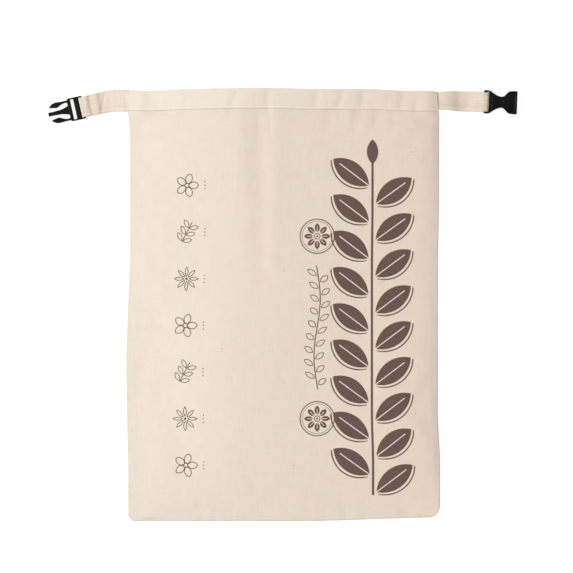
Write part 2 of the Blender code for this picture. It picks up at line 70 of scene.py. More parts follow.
# Heights of the two cloths as they lie
LAYER = 0.65 * MM  # the room that one cloth takes
HEM_LAYER = 1.6 * MM
CLEARANCE = 0.15 * MM
PUFF = 8.5 * MM
CROWN_X = -35 * MM  # the puff is highest a little left of the middle
CROWN_WIDTH = 0.35  # how broad its top is, against the way from there to a side seam
LEFT_DROP = 0.02  # the share of its height that it loses only near each side seam
RIGHT_DROP = 0.36
MOUTH_HOLD = 0.45  # how much less of that the stiff hem lets it lose on the right
DROP_POWER = 28
BOTTOM_CLOSING = 150 * MM
MOUTH_SINK = 0.13
MOUTH_SINK_FROM = 80 * MM
EDGE_LIFT = 0.5 * MM
EDGE_LIFT_WIDTH = 8 * MM
WAVE = 0.35 * MM
STRAP_ROOM = 0.95 * MM  # how much further apart the cloths stand at the straps
LEFT_SINK = 0.15 * MM  # how far the front cloth then falls to the seam over each strap
RIGHT_SINK = 0.6 * MM
LEFT_PRESSED = 0.4  # how much thinner the hem is pressed there
RIGHT_PRESSED = 0.55
SINK_WIDTH = 7 * MM
SINK_EASING = 10 * MM  # how far below a strap the sinking starts
STRAP_ROOM_WIDTH = 25.5 * MM  # how far inside the seam the cloths start to make room for a strap
STRAP_ROOM_EASING = 13.6 * MM
SEAM_GAP = 0.05 * MM  # half the gap between the cloths at the seam
STRAP_SEAM_GAP = 0.62 * MM  # the same where a strap is caught between them
STRAP_SEAM_EASING = 1.5 * MM
HEM_GROOVE = 0.34 * MM  # under the back cloth, along the stitches
HEM_GROOVE_WIDTH = 2.2 * MM

# Rounded corners: side, end, radius
CORNERS = ((-1, -1, 6.5 * MM), (1, -1, 11 * MM), (-1, 1, 3 * MM), (1, 1, 4 * MM))

# How far each edge stands outside the plain rectangle: (place along the edge, outwards), mm
LEFT_EDGE = ((-209, 0), (-160, 0), (-112, 1), (-54, 2), (5, 0), (43, -1.9), (150, -1.9),
             (172, -1.7), (180, -0.6), (188, 1.5), (196, 0.9), (208, 0.6))
RIGHT_EDGE = ((-209, 2), (-150, 2), (-131, 1), (-112, 0), (43, 0), (91, 1), (190, 1.2), (197, -0.6),
              (208, -0.6))
TOP_EDGE = ((-150, -0.1), (-129, -1.1), (-100, 0.7), (-42, 1.8), (-7, 1.8), (28, 0.8), (86, 0.8),
            (121, -1.1), (150, -1.1))
BOTTOM_EDGE = ((-150, 0.3), (28, 0.3), (63, -0.6), (86, -1.6), (121, -2.6), (150, -3.6))
EDGE_SMOOTHING = 3.5 * MM

# Soft folds, mm: from (x, y) to (x, y), half the width, and the depth (minus: a ridge)
FOLDS = (
    (-22, 186, -19, 30, 9.0, 0.42),
    (-42, 182, -38, 50, 9.0, -0.2),
    (-8, 182, -12, 40, 10.0, -0.4),
    (-14, 208, -15, 191, 5.0, 0.25),
    (31, 208, 28, 190, 6.0, 0.30),
    (55, 208, 51, 189, 6.0, 0.32),
    (77, 208, 73, 188, 6.0, 0.32),
    (115, 206, 111, 188, 6.0, 0.36),
    (135, 205, 130, 188, 5.0, 0.30),
    (43, 187, 41, 172, 6.0, 0.26),
    (71, 187, 68, 170, 6.0, 0.28),
    (89, 186, 87, 172, 6.0, 0.26),
    (136, 176, 117, 155, 6.0, 0.30),
    (144, -72, 132, -92, 6.0, 0.4),
    (143, -124, 130, -108, 6.0, 0.4),
    (-120, -20, -96, -150, 16.0, 0.5),
    (60, 40, 84, -140, 18.0, 0.5),
)

# Finer creases of the front cloth, laid out in the same way; their depth also sets the painted shade in them
CREASES = (
    (-89, 201, -93, 197, 2.6, 0.30),
    (-45, 204, -50, 191, 2.6, 0.30),
    (-15, 203, -16, 191, 2.2, 0.32),
    (-14, 188, -13, 168, 2.8, 0.26),
    (-51, 187, -55, 178, 2.6, 0.26),
    (33, 203, 31, 193, 2.2, 0.30),
    (58, 204, 53, 192, 2.4, 0.30),
    (52, 203, 48, 194, 2.4, -0.20),
    (77, 203, 76, 193, 2.0, 0.30),
    (103, 203, 100, 192, 2.4, 0.22),
    (116, 203, 113, 192, 2.2, 0.28),
    (130, 203, 127, 190, 2.2, 0.24),
    (65, 188, 64, 178, 2.6, -0.26),
    (44, 187, 43, 174, 2.4, 0.22),
    (91, 187, 89, 176, 2.6, 0.22),
    (104, 187, 106, 170, 3.0, 0.16),
    (-96, 187, -93, 172, 3.0, 0.16),
    (-120, 187, -118, 176, 2.6, 0.14),
    (143, 150, 134, 139, 2.6, 0.20),
    (144, 70, 137, 62, 3.0, 0.18),
    (-146, 120, -138, 112, 3.0, 0.16),
    (-147, 20, -138, 26, 3.2, 0.16),
    (-146, -90, -136, -84, 3.2, 0.16),
    (-88, -206, -84, -194, 3.2, 0.18),
    (-20, -206, -24, -192, 3.4, 0.18),
    (60, -206, 56, -193, 3.2, 0.18),
    (118, -206, 108, -196, 3.0, 0.22),
)
# Narrow folds also get painted shade in the cloth's colour, by a share of their depth
NARROW_FOLD = 6  # folds up to this half width also tint the cloth, by a share of their depth
NARROW_FOLD_SHADE = 0.6

# Sewing and unevenness
PUCKER = 0.09 * MM  # the uneven pull of the stitches along the hem
PUCKER_REACH = 5 * MM
PUCKER_SPACING = (2.9 * MM, 7 * MM)
WIDE_PUCKER = 0.8  # the share of the wider of the two
SEAM_PUCKER = 0.16 * MM  # the same along the sewn sides and the bottom
SEAM_PUCKER_AT = 3 * MM
SEAM_PUCKER_REACH = 9 * MM
SEAM_PUCKER_FADE = 12 * MM  # below the hem
RIGHT_SEAM_SPACING = 5 * MM
LEFT_SEAM_SPACING = 6 * MM
BOTTOM_SEAM_SPACING = 6 * MM
SEAM_ALLOWANCE = 9.5 * MM  # the turned-in edges lie this far inside
SEAM_WANDER = 0.8 * MM  # and wander by this much
SEAM_WANDER_SPACING = 17 * MM
SEAM_RIDGE = 0.16 * MM  # how far they lift the cloth
SEAM_RIDGE_EASING = 1.2 * MM
CRUMPLE = 0.13 * MM
CRUMPLE_SIZES = ((23 * MM, 31 * MM), (8 * MM, 13 * MM))
FINE_CRUMPLE = 0.35  # the share of the finer of the two
STITCH_GROOVE = 0.08 * MM
STITCH_GROOVE_WIDTH = 0.6 * MM
STITCH_Y = HEM_EDGE + 1.7 * MM
FOLD_LINE_Y = TOP_Y - 3.6 * MM  # the turned-in edge shows as a faint line near the mouth
FOLD_LINE = 0.12 * MM
FOLD_LINE_WIDTH = 0.8 * MM
FOLD_LINE_WANDER = 0.4 * MM
FOLD_LINE_SPACING = 25 * MM
STITCH_WANDER = (0.12 * MM, 0.15 * MM, 0.10 * MM)  # of a stitch's start, length and place
HEM_STITCH_END = 2.5 * MM  # where the row of stitches ends, inside the side seam
BACK_STITCH_END = 26 * MM  # how much earlier it ends under the straps

# The turn of a cloth at a sewn edge and at the mouth: (inwards from the edge, share of the height), mm
SEAM_ROLL = ((0.30, 0.0), (0.10, 0.10), (0.0, 0.27), (0.04, 0.50), (0.20, 0.73), (0.55, 0.91),
             (1.15, 1.0))
MOUTH_ROLL = ((0.0, 0.0), (0.05, 0.34), (0.20, 0.63), (0.48, 0.87), (0.95, 1.0))

# The grids of the cloths: how far apart their lines are
FRONT_CELL = 2.05 * MM
BACK_CELL = 3.2 * MM
HEM_CELL = 1.0 * MM
HEM_STEP_CELL = 0.22 * MM
WELD = 0.001 * MM  # points that are nearer than this are one

# The straps
STRAP_WIDTH = 20.4 * MM
STRAP_IN_SLOT = 19.3 * MM
STRAP_LAYER = 1.2 * MM
STRAP_Y = 197.0 * MM
STRAP_CAUGHT = 8.5 * MM
BAG_SIDE_X = 152 * MM
RETURN_LENGTH = 19 * MM
LEFT_TURN = math.radians(12.6)
LEFT_TURN_AT = 24.5 * MM
LEFT_TURN_LENGTH = 21 * MM
RIGHT_TURN = math.radians(-1.9)
LEFT_RUN = ((0, 2.3), (6, 2.3), (8.5, 2.3), (11, 2.2), (15, 2.0), (19, 1.8), (24, 1.7), (28, 1.7),
            (31, 1.85), (34, 2.4), (37, 2.85), (40, 2.95), (43, 3.3), (46, 4.5))
RIGHT_RUN = ((0, 2.3), (6, 2.3), (8.5, 2.55), (11.5, 2.95), (14.5, 3.15), (18, 3.1), (21, 2.85),
             (24, 2.35), (27, 1.9), (30, 1.8), (34, 2.2), (38, 2.9), (42.5, 4.0), (45.5, 4.85))
STRAP_ROLL = ((0.0, 0.0), (0.04, 0.40), (0.16, 0.70), (0.42, 0.92), (0.85, 1.0))
STRAP_END = 0.6 * MM  # how far its ends are rounded
STRAP_CELL = 0.5 * MM
STRAP_CROSS_CELL = 0.45 * MM
SEEN_STEP = 0.1 * MM
FLOOR_GAP = 0.02 * MM
BAR_ROUNDING = 0.5 * MM
BAR_CORNER = 0.3 * MM  # how far inside the ends of a bar the strap starts to turn
RUN_STEPS = 6  # points between two rows of a run
STRAP_STITCHES = 2.5 * MM  # inwards from the strap's lower edge
STRAP_GROOVE = 0.14 * MM
STRAP_GROOVE_WIDTH = 0.5 * MM
TURNED_EDGE = 5.3 * MM  # the crease of the turned-in edge, from the lower edge
TURNED_LAYER = 0.16 * MM  # how far it lifts the strap
TURNED_EASING = 0.6 * MM
# Painted shade along the crease of the turned-in edge, given as a depth
TURNED_SHADE = 0.35 * MM
STRAP_CRUMPLE = 0.06 * MM
RIB_HEIGHT_ON_STRAP = 0.26 * MM
RIB_PITCH_ON_STRAP = 0.42 * MM
# Painted shade in the grooves between the ribs, by a share of their height
RIB_SHADE = 0.7

# Folds across the straps, mm: along, half the width, depth, how far it slants over the strap's width
LEFT_STRAP_FOLDS = ((33.8, 1.9, 0.28, 1.5), (31.4, 1.8, 0.26, 9.0), (28.6, 2.2, -0.06, 9.0),
                    (40.5, 2.6, -0.08, 1.0), (45.4, 1.9, 0.26, 5.0), (9.0, 2.0, 0.12, 0.0),
                    (24.5, 1.3, 0.08, 4.0), (20.5, 1.2, -0.06, -3.0))
RIGHT_STRAP_FOLDS = ((26.3, 2.4, 0.16, 2.6), (33.5, 2.4, 0.12, -4.0), (44.5, 1.0, 0.10, 0.8))

# How much narrower each strap is on each side, and how far its middle drifts: (along, value), mm
LEFT_NARROWED = ((0, -0.33), (30, -0.33), (38, 0), (80, 0))
LEFT_DRIFT = ((0, 0.33), (30, 0.33), (38, 0))
RIGHT_NARROWED = ((0, 1.6), (9, 1.6), (17, 0.7), (26, 0.4), (40, 0.3), (47, 0.1), (58, 0.1),
                  (70, 0.35), (84, 0.8))
RIGHT_DRIFT = ((0, 0.4), (9, 0.4), (17, 0.8), (27, -0.1), (40, 0))

# The prong half of the buckle: U runs from the strap to the tips, V across, Z up
PRONG_HALF_X = -192.0 * MM
PRONG_HALF_Y = 191.6 * MM
FRAME_HALF_WIDTH = 11.2 * MM
FRAME_LENGTH = 15.7 * MM
FRAME_HEIGHT = 4.5 * MM
FRAME_RADIUS = 2.2  # this radius and the next two are in mm, as in the outlines
OUTER_SLOT_RADIUS = 0.5
INNER_SLOT_RADIUS = 0.8
OUTER_BAR = 2.5 * MM
OUTER_BAR_LOW = 1.7 * MM
OUTER_BAR_HIGH = 3.9 * MM
OUTER_SLOT_END = 4.25 * MM
RIBBED_BAR_END = 9.3 * MM
INNER_SLOT_END = 12.4 * MM
SLOT_HALF_LENGTH = 9.8 * MM
PRONG_LOW = 0.65 * MM
PRONG_HEIGHT = 3.2 * MM
RIBBED_BAR_LOW = 0.8 * MM
RIBBED_BAR_HIGH = FRAME_HEIGHT - 1.0 * MM
RIB_COUNT = 2
RIB_SUNK = 0.5 * MM  # how far the ribs reach into the plastic round them
RIB_WIDTH = 1.3 * MM
RIB_HEIGHT = 0.8 * MM
RIB_ROUNDING = 0.3 * MM
PRONG_OUTLINE = (
    (35.8, 0.0, 0.0), (35.8, 2.0, 0.7), (31.6, 1.8, 2.0), (22.6, 2.3, 4.0), (16.9, 3.8, 1.5),
    (15.4, 5.0, 0.0), (15.4, 7.0, 0.0), (17.1, 7.9, 1.0), (20.7, 7.3, 3.0), (23.4, 6.1, 3.0),
    (26.3, 4.6, 0.6), (33.3, 5.9, 0.5), (33.7, 7.1, 0.6), (30.3, 9.5, 3.0), (26.6, 10.2, 4.0),
    (21.3, 9.8, 6.0), (13.9, 9.9, 0.0), (13.9, 0.0, 0.0),
)

# The socket half of the buckle: P runs from the strap to the mouth
SOCKET_HALF_X = 193.3 * MM
SOCKET_HALF_Y = 196.45 * MM
SOCKET_HEIGHT = 8.5 * MM
SOCKET_BAR_START = 0.8 * MM
SOCKET_BAR_END = 4.3 * MM
SOCKET_BAR_LOW = 2.9 * MM
SOCKET_BAR_HIGH = 5.3 * MM
CAVITY_WIDTH = 19.0 * MM
CAVITY_HEIGHT = 4.7 * MM
CAVITY_START = 11.5 * MM
SOCKET_LENGTH = 33.5 * MM
SOCKET_OUTLINE = (
    (0.8, 0.0, 0.0), (0.8, 10.9, 1.2), (3.4, 11.5, 4.0), (6.6, 11.0, 5.0), (9.6, 8.9, 6.0),
    (12.7, 6.9, 6.0), (15.7, 5.7, 5.0), (18.4, 5.1, 3.5), (20.7, 6.1, 3.0), (22.5, 8.2, 3.5),
    (24.4, 10.2, 3.0), (26.4, 11.0, 3.0), (33.2, 11.35, 1.0), (33.2, 0.0, 0.0),
)
SOCKET_SLOT = ((4.3, 0.0, 0.0), (4.3, 9.8, 0.5), (5.8, 9.8, 0.4), (5.8, 0.0, 0.0))
SOCKET_RECESS = ((5.4, 0.0, 0.0), (5.4, 9.7, 0.4), (6.6, 9.7, 0.8), (9.0, 6.9, 0.8), (9.0, 0.0, 0.0))
RECESS_DEPTH = 3.6 * MM
CONTOUR_OUTER = (
    (18.6, 0.0, 0.0), (18.6, 2.9, 0.8), (21.8, 4.5, 3.0), (24.2, 7.6, 2.5), (26.2, 8.9, 1.8),
    (31.4, 9.2, 0.9), (31.4, 0.0, 0.0),
)
CONTOUR_INNER = (
    (19.8, 0.0, 0.0), (19.8, 2.1, 0.6), (22.5, 3.4, 2.5), (24.9, 6.4, 2.0), (26.6, 7.7, 1.2),
    (30.2, 8.0, 0.5), (30.2, 0.0, 0.0),
)
CONTOUR_DEPTH = 0.6 * MM
CONTOUR_ROUNDING = 0.5 * MM
RIM_ROUNDING = 0.45 * MM
PRONG_ROUNDING = 0.4 * MM
RECESS_ROUNDING = 0.3 * MM
ARC_STEP = math.radians(9)
NEARLY_STRAIGHT = math.radians(88)  # half the angle of a corner that needs no arc
SHARP_ANGLE = math.radians(32)
PAST = 1 * MM  # how far a shape that cuts stands past the plastic

# Painted shade: how much darker the cotton is painted along its edges
EDGE_SHADE = 0.11

# The stage
CAMERA_AT = (3.4 * MM, 17.7 * MM)
CAMERA_HEIGHT = 6.0
PICTURE_WIDTH = 554.7 * MM
SENSOR = 36.0
FLOOR_RADIUS = 12.0
FLOOR_Z = -0.2 * MM
SKY = 0.72
SKY_ON_THE_RIGHT = 0.18  # how much dimmer it is there
SKY_ABOVE = 0.55
LIGHTS = (("key", (-2.6, 0.6, 2.25), 1.4, 118.0), ("fill", (1.4, -1.2, 1.6), 1.4, 12.0))


class Value:
    """A number that changes over a surface: a socket with Python's operators."""

    def __init__(self, graph, socket):
        self.graph = graph
        self.socket = socket

    def __add__(self, other):
        return math_of("ADD", self, other)

    __radd__ = __add__

    def __sub__(self, other):
        return math_of("SUBTRACT", self, other)

    def __rsub__(self, other):
        return math_of("SUBTRACT", other, self)

    def __mul__(self, other):
        return math_of("MULTIPLY", self, other)

    __rmul__ = __mul__

    def __pow__(self, other):
        return math_of("POWER", self, other)

    def __gt__(self, other):
        return math_of("GREATER_THAN", self, other)

    def __lt__(self, other):
        return math_of("LESS_THAN", self, other)

    def __neg__(self):
        return math_of("MULTIPLY", self, -1.0)

    def __abs__(self):
        return math_of("ABSOLUTE", self)


class Graph:
    """A node tree, with one method that adds any node."""

    def __init__(self, tree):
        self.tree = tree

    def node(self, kind, settings=None, inputs=None):
        """Adds a node, sets it up, and then feeds its sockets with numbers or links."""
        made = self.tree.nodes.new(kind)
        for name, setting in (settings or {}).items():
            setattr(made, name, setting)
        for name, given in (inputs or {}).items():
            self.feed(made.inputs[name], given)
        return made

    def feed(self, socket, given):
        """Links a socket, or sets it to a number or a colour."""
        given = given.socket if isinstance(given, Value) else given
        if isinstance(given, bpy.types.NodeSocket):
            self.tree.links.new(given, socket)
        else:
            socket.default_value = given


def math_of(operation, *terms, clamp=False):
    """A Math node on values and numbers."""
    graph = next(term.graph for term in terms if isinstance(term, Value))
    settings = {"operation": operation, "use_clamp": clamp}
    made = graph.node("ShaderNodeMath", settings, dict(enumerate(terms)))
    return Value(graph, made.outputs[0])


def least(first, *others):
    """The least of several values."""
    for other in others:
        first = math_of("MINIMUM", first, other)
    return first


def most(first, *others):
    """The greatest of several values."""
    for other in others:
        first = math_of("MAXIMUM", first, other)
    return first


def together(graph, x, y, z=0.0):
    """A vector of three values or numbers."""
    return graph.node("ShaderNodeCombineXYZ", None, {0: x, 1: y, 2: z}).outputs[0]


def length_of(x, y):
    """The distance from the origin."""
    place = together(x.graph, x, y)
    made = x.graph.node("ShaderNodeVectorMath", {"operation": "LENGTH"}, {0: place})
    return Value(x.graph, made.outputs["Value"])


def wrapped(value, pitch):
    """The value, repeated so that it stays within half a pitch of 0."""
    return math_of("WRAP", value, pitch / 2, -pitch / 2)


def clouded(x, y, size_x, size_y, seed, detail=2.0):
    """A soft random pattern around 0, with patches of about this size."""
    place = together(x.graph, x * (1 / size_x), y * (1 / size_y), seed)
    settings = {"Vector": place, "Scale": 1.0, "Detail": detail}
    made = x.graph.node("ShaderNodeTexNoise", None, settings)
    return Value(x.graph, made.outputs[0]) - 0.5


def mixed(graph, share, first, second):
    """One colour laid over another."""
    made = graph.node("ShaderNodeMix", {"data_type": "RGBA"}, {0: share, 6: first, 7: second})
    return made.outputs[2]


def brightened(graph, colour, share):
    """A colour made lighter or darker by a value around 1."""
    made = graph.node("ShaderNodeVectorMath", {"operation": "SCALE"}, {0: colour, 3: share})
    return made.outputs[0]


def opaque(colour):
    """A colour property as a node takes it."""
    return (*colour, 1.0)


def new_finish(name, roughness):
    """A material with its graph and its shader."""
    made = bpy.data.materials.new(name)
    made.use_nodes = True
    shader = made.node_tree.nodes["Principled BSDF"]
    shader.inputs["Roughness"].default_value = roughness
    return made, Graph(made.node_tree), shader


def roughened(graph, shader, height, strength, distance):
    """Gives a shader a relief of this height."""
    settings = {"Height": height, "Strength": strength, "Distance": distance}
    bump = graph.node("ShaderNodeBump", None, settings)
    graph.feed(shader.inputs["Normal"], bump.outputs[0])


def in_place(graph):
    """Places in the scene, in mm."""
    place = graph.node("ShaderNodeTexCoord").outputs["Object"]
    parts = graph.node("ShaderNodeSeparateXYZ", None, {0: place}).outputs
    return [Value(graph, part) * 1000.0 for part in parts]


def on_the_cloth(graph):
    """Places on a cloth as it is cut, in mm, along its two kinds of thread."""
    place = graph.node("ShaderNodeUVMap", {"uv_map": "cut"}).outputs[0]
    parts = graph.node("ShaderNodeSeparateXYZ", None, {0: place}).outputs
    return Value(graph, parts[0]) * 1000.0, Value(graph, parts[1]) * 1000.0


def in_a_crease(graph):
    """The depth of the creases at a place of a cloth, in mm, which sets the painted shade in them; ridges
    are below 0.
    """
    return Value(graph, graph.node("ShaderNodeAttribute", {"attribute_name": "crease_shade"}).outputs["Fac"])


def threads(x, y, pitch):
    """The height of a plain weave: each crossing is a bump, long along the thread that is on top."""
    u = (x + clouded(x, y, 3.0, 14.0, 3) * 0.25) * (1 / pitch)
    v = (y + clouded(x, y, 14.0, 3.0, 4) * 0.25) * (1 / pitch)
    across = abs(math_of("SINE", u * math.pi))
    along = abs(math_of("SINE", v * math.pi))
    warp = across * along**0.35
    weft = along * across**0.35
    on_top = math_of("PINGPONG", math_of("FLOOR", u) + math_of("FLOOR", v), 1.0)
    return weft + (warp - weft) * on_top


def slubs(x, y, pitch):
    """Threads that are thicker or lighter than their neighbours for a while, around 0."""
    upright = clouded(x, y, pitch * 1.1, 26.0, 11, 1.0)
    level = clouded(x, y, 22.0, pitch * 1.1, 12, 1.0)
    return upright + level


def flecks(x, y, cell, size, share, seed):
    """Specks of seed husk: 1 on a speck, in this share of the cells."""
    graph = x.graph
    bent_x = x + clouded(x, y, 1.2, 1.2, seed + 5) * 0.7
    bent_y = y + clouded(x, y, 1.2, 1.2, seed + 6) * 0.7
    place = together(graph, bent_x * (1 / cell) + seed, bent_y * (1 / cell))
    settings = {"Vector": place, "Scale": 1.0}
    made = graph.node("ShaderNodeTexVoronoi", {"voronoi_dimensions": "2D"}, settings)
    channels = graph.node("ShaderNodeSeparateColor", None, {0: made.outputs["Color"]}).outputs
    chance = Value(graph, channels[0])
    distance = Value(graph, made.outputs["Distance"])
    near = math_of("MULTIPLY_ADD", distance, -cell / size, 1.5, clamp=True)
    return near * (chance < share)


def inked(distance, soft=0.16):
    """1 inside a printed shape and 0 outside it, from the distance to its edge in mm."""
    return math_of("MULTIPLY_ADD", distance, -0.5 / soft, 0.5, clamp=True)


def turned(x, y, angle):
    """A place seen from a frame that is turned by this angle."""
    return x * math.cos(angle) + y * math.sin(angle), y * math.cos(angle) - x * math.sin(angle)


def leaf(along, across, length, width):
    """The distance outside a leaf with pointed ends, in mm."""
    half, wide = length / 2, width / 2
    radius = (half * half + wide * wide) / (2 * wide)
    return length_of(along, abs(across) + (radius - wide)) - radius


def fanned(x, y, count):
    """A place seen from the nearest of several spokes: along it and across it."""
    angle = wrapped(math_of("ARCTAN2", y, x), 2 * math.pi / count)
    reach = length_of(x, y)
    return reach * math_of("COSINE", angle), reach * math_of("SINE", angle)


def line_of(distance, width):
    """The distance to a drawn line of this width, from the distance to a shape."""
    return abs(distance) - width / 2


def big_spray(x, y):
    """A tall stem with broad leaves that alternate, each with a vein and a fine line beside it."""
    stem_x, middle_y, pitch, count = 86.0, -22.0, 35.0, 9
    length, width, tilt = 43.0, 20.5, math.radians(37)
    half = pitch * count / 2
    p = x - stem_x
    q = y - middle_y + ((p > 0.0) - 0.5) * (pitch / 2)
    side = abs(p)
    level = wrapped(q, pitch)
    along, across = turned(side - 20.5, level - 1.0, tilt)
    blade = leaf(along, across, length, width)
    vein = most(abs(across) - 0.5, along - 14.0)
    beside = leaf(along - 0.4, across + 2.8, length, width)
    inside = abs(q) - half
    solid = most(blade, -vein, inside)
    echo = most(line_of(beside, 1.3), inside, 1.5 - blade, across)
    stem = most(side - 1.1, abs(y - middle_y + 2.0) - half - 4.0)
    tip = leaf(y - middle_y - half - 12.0, p, 24.0, 11.0)
    return inked(least(solid, echo, stem, tip))


def flower_disc(x, y, centre_x, centre_y):
    """A ring with an open flower of eight petals."""
    p, q = x - centre_x, y - centre_y
    reach = length_of(p, q)
    ring = line_of(reach - 16.5, 1.0)
    inner = line_of(reach - 14.4, 0.45)
    along, across = fanned(p, q, 8)
    petal = leaf(along - 8.2, across, 8.8, 4.9)
    vein = most(abs(across) - 0.3, along - 9.6)
    heart = line_of(reach - 2.7, 0.8)
    return inked(least(ring, inner, most(petal, -vein), heart, reach - 1.0))


def slim_vine(x, y):
    """A thin upright line that sways, with small leaves on both sides."""
    stem_x, middle_y, pitch, count = 33.0, -22.0, 12.4, 9
    half = pitch * count / 2
    sway = math_of("SINE", (y - middle_y) * (math.pi / half)) * 3.0
    p = x - stem_x - sway
    q = y - middle_y + ((p > 0.0) - 0.5) * (pitch / 2)
    stem = most(abs(p) - 0.55, abs(y - middle_y) - half - 4.0)
    level = wrapped(q, pitch)
    along, across = turned(abs(p) - 5.4, level - 0.5, math.radians(35))
    small = line_of(leaf(along, across, 9.4, 4.6), 0.8)
    return inked(least(stem, most(small, abs(q) - half)))


def small_motifs(x, y):
    """A column of small line drawings: a flower, a star and a sprig in turn."""
    column_x, middle_y, pitch, count = -94.0, -20.0, 45.0, 7
    p = x - column_x
    q = y - middle_y
    level = wrapped(q, pitch)
    number = math_of("FLOOR", q * (1 / pitch) + 0.5) + (count // 2)
    kind = math_of("WRAP", number, 3.0, 0.0)
    reach = length_of(p, level)
    along, across = fanned(p, level, 5)
    flower = least(line_of(leaf(along - 6.6, across, 9.6, 6.4), 0.8), line_of(reach - 2.0, 0.8))
    spoke, aside = fanned(p, level, 8)
    star = least(line_of(leaf(spoke - 7.0, aside, 9.0, 2.8), 0.75), reach - 1.2)
    tilted, over = turned(p, level, math.radians(62))
    pair, beside = turned(abs(over) - 4.2, wrapped(tilted, 7.0), math.radians(38))
    leaves = line_of(leaf(pair, beside, 8.4, 3.8), 0.75)
    sprig = most(least(leaves, abs(over) - 0.45), abs(tilted) - 10.5)
    first = (abs(kind) < 0.5) * inked(flower)
    second = (abs(kind - 1.0) < 0.5) * inked(star)
    third = (abs(kind - 2.0) < 0.5) * inked(sprig)
    dots = length_of(p - 17.5, wrapped(level, 3.4)) - 0.62
    row = inked(most(dots, abs(level) - 5.0))
    return (first + second + third + row) * (abs(q) < pitch * count / 2)


def printed_ink(x, y):
    """Where the front cloth is printed, from 0 to 1."""
    rough_x = x + clouded(x, y, 0.9, 0.9, 31) * 0.35
    rough_y = y + clouded(x, y, 0.9, 0.9, 32) * 0.35
    return most(
        big_spray(rough_x, rough_y),
        flower_disc(rough_x, rough_y, 33.0, 66.0),
        flower_disc(rough_x, rough_y, 33.0, -110.0),
        slim_vine(rough_x, rough_y),
        small_motifs(rough_x, rough_y),
    )


def olive_thread(x, y):
    """A short green thread caught in the seam near the lower left corner."""
    along = x + 130.3
    across = y + 206.2 - along * along * 0.018
    return inked(most(abs(across) - 0.45, abs(along) - 6.6), 0.6)


def clamped(value):
    """The value, kept between 0 and 1."""
    return math_of("MULTIPLY", value, 1.0, clamp=True)


def hem_shade(x, y):
    """Painted shadow under the step at the hem's lower edge, just below the stitches, stronger in some
    stretches.
    """
    across = abs(y - (HEM_EDGE / MM - 0.3)) - 0.4
    stretch = clamped(clouded(x, y, 28.0, 90.0, 24) * 2.4 + 0.55)
    return inked(across, 0.3) * stretch


def warmth_of_panel(x, y):
    """How warm the cloth looks: less at the left seam and in the hem band, more towards the right one, with
    a painted warm shade in the long fold left of the middle.
    """
    # Painted shade: a warmer tone in the long fold left of the middle, where light bounces inside it
    trough_shade = clamped(1.0 - abs(x + 27.0) * (1 / 11.0)) * clamped(y * (1 / 90.0))
    in_band = inked(HEM_EDGE / MM - y, 0.4) * clamped(1.0 - x * (1 / 130.0))
    return 0.55 + x * 0.0022 - inked(x + 141.0, 3.0) * 0.3 + trough_shade * 0.45 - in_band * 0.55


def edge_shade_of_panel(x, y):
    """Painted shade along the sewn edges of a cloth: 1 along them and more beside the left strap; beside the
    right strap it falls below 0, which paints light over the shadow of the cloth's edge there.
    """
    at_edge = inked(least(HALF_WIDTH / MM - 1.2 - abs(x), y - BOTTOM_Y / MM - 1.2), 0.4)
    at_strap = inked(HEM_EDGE / MM - 2.0 - y, 0.5)
    beside_strap = inked(HALF_WIDTH / MM - 6.0 - abs(x), 3.0) * at_strap
    at_right = x > 0.0
    return at_edge * (1.0 - at_strap * (at_right * 2.8 - 0.8)) + beside_strap * (0.4 - at_right * 0.9)


def edge_shade_of_strap(x, y):
    """Painted shade: 1 along both edges of a strap, where they roll over."""
    return inked(STRAP_WIDTH / (2 * MM) - 0.7 - abs(y), 0.3)


def edge_shade_of_left_strap(x, y):
    """Painted shade: 1 along both edges of the left strap, and more where it is folded round its bar."""
    return edge_shade_of_strap(x, y) + inked(abs(x - 56.0) - 5.5, 0.6) * 1.3


def warmth_of_strap(x, y):
    """How warm a strap looks: even all over."""
    return 0.75


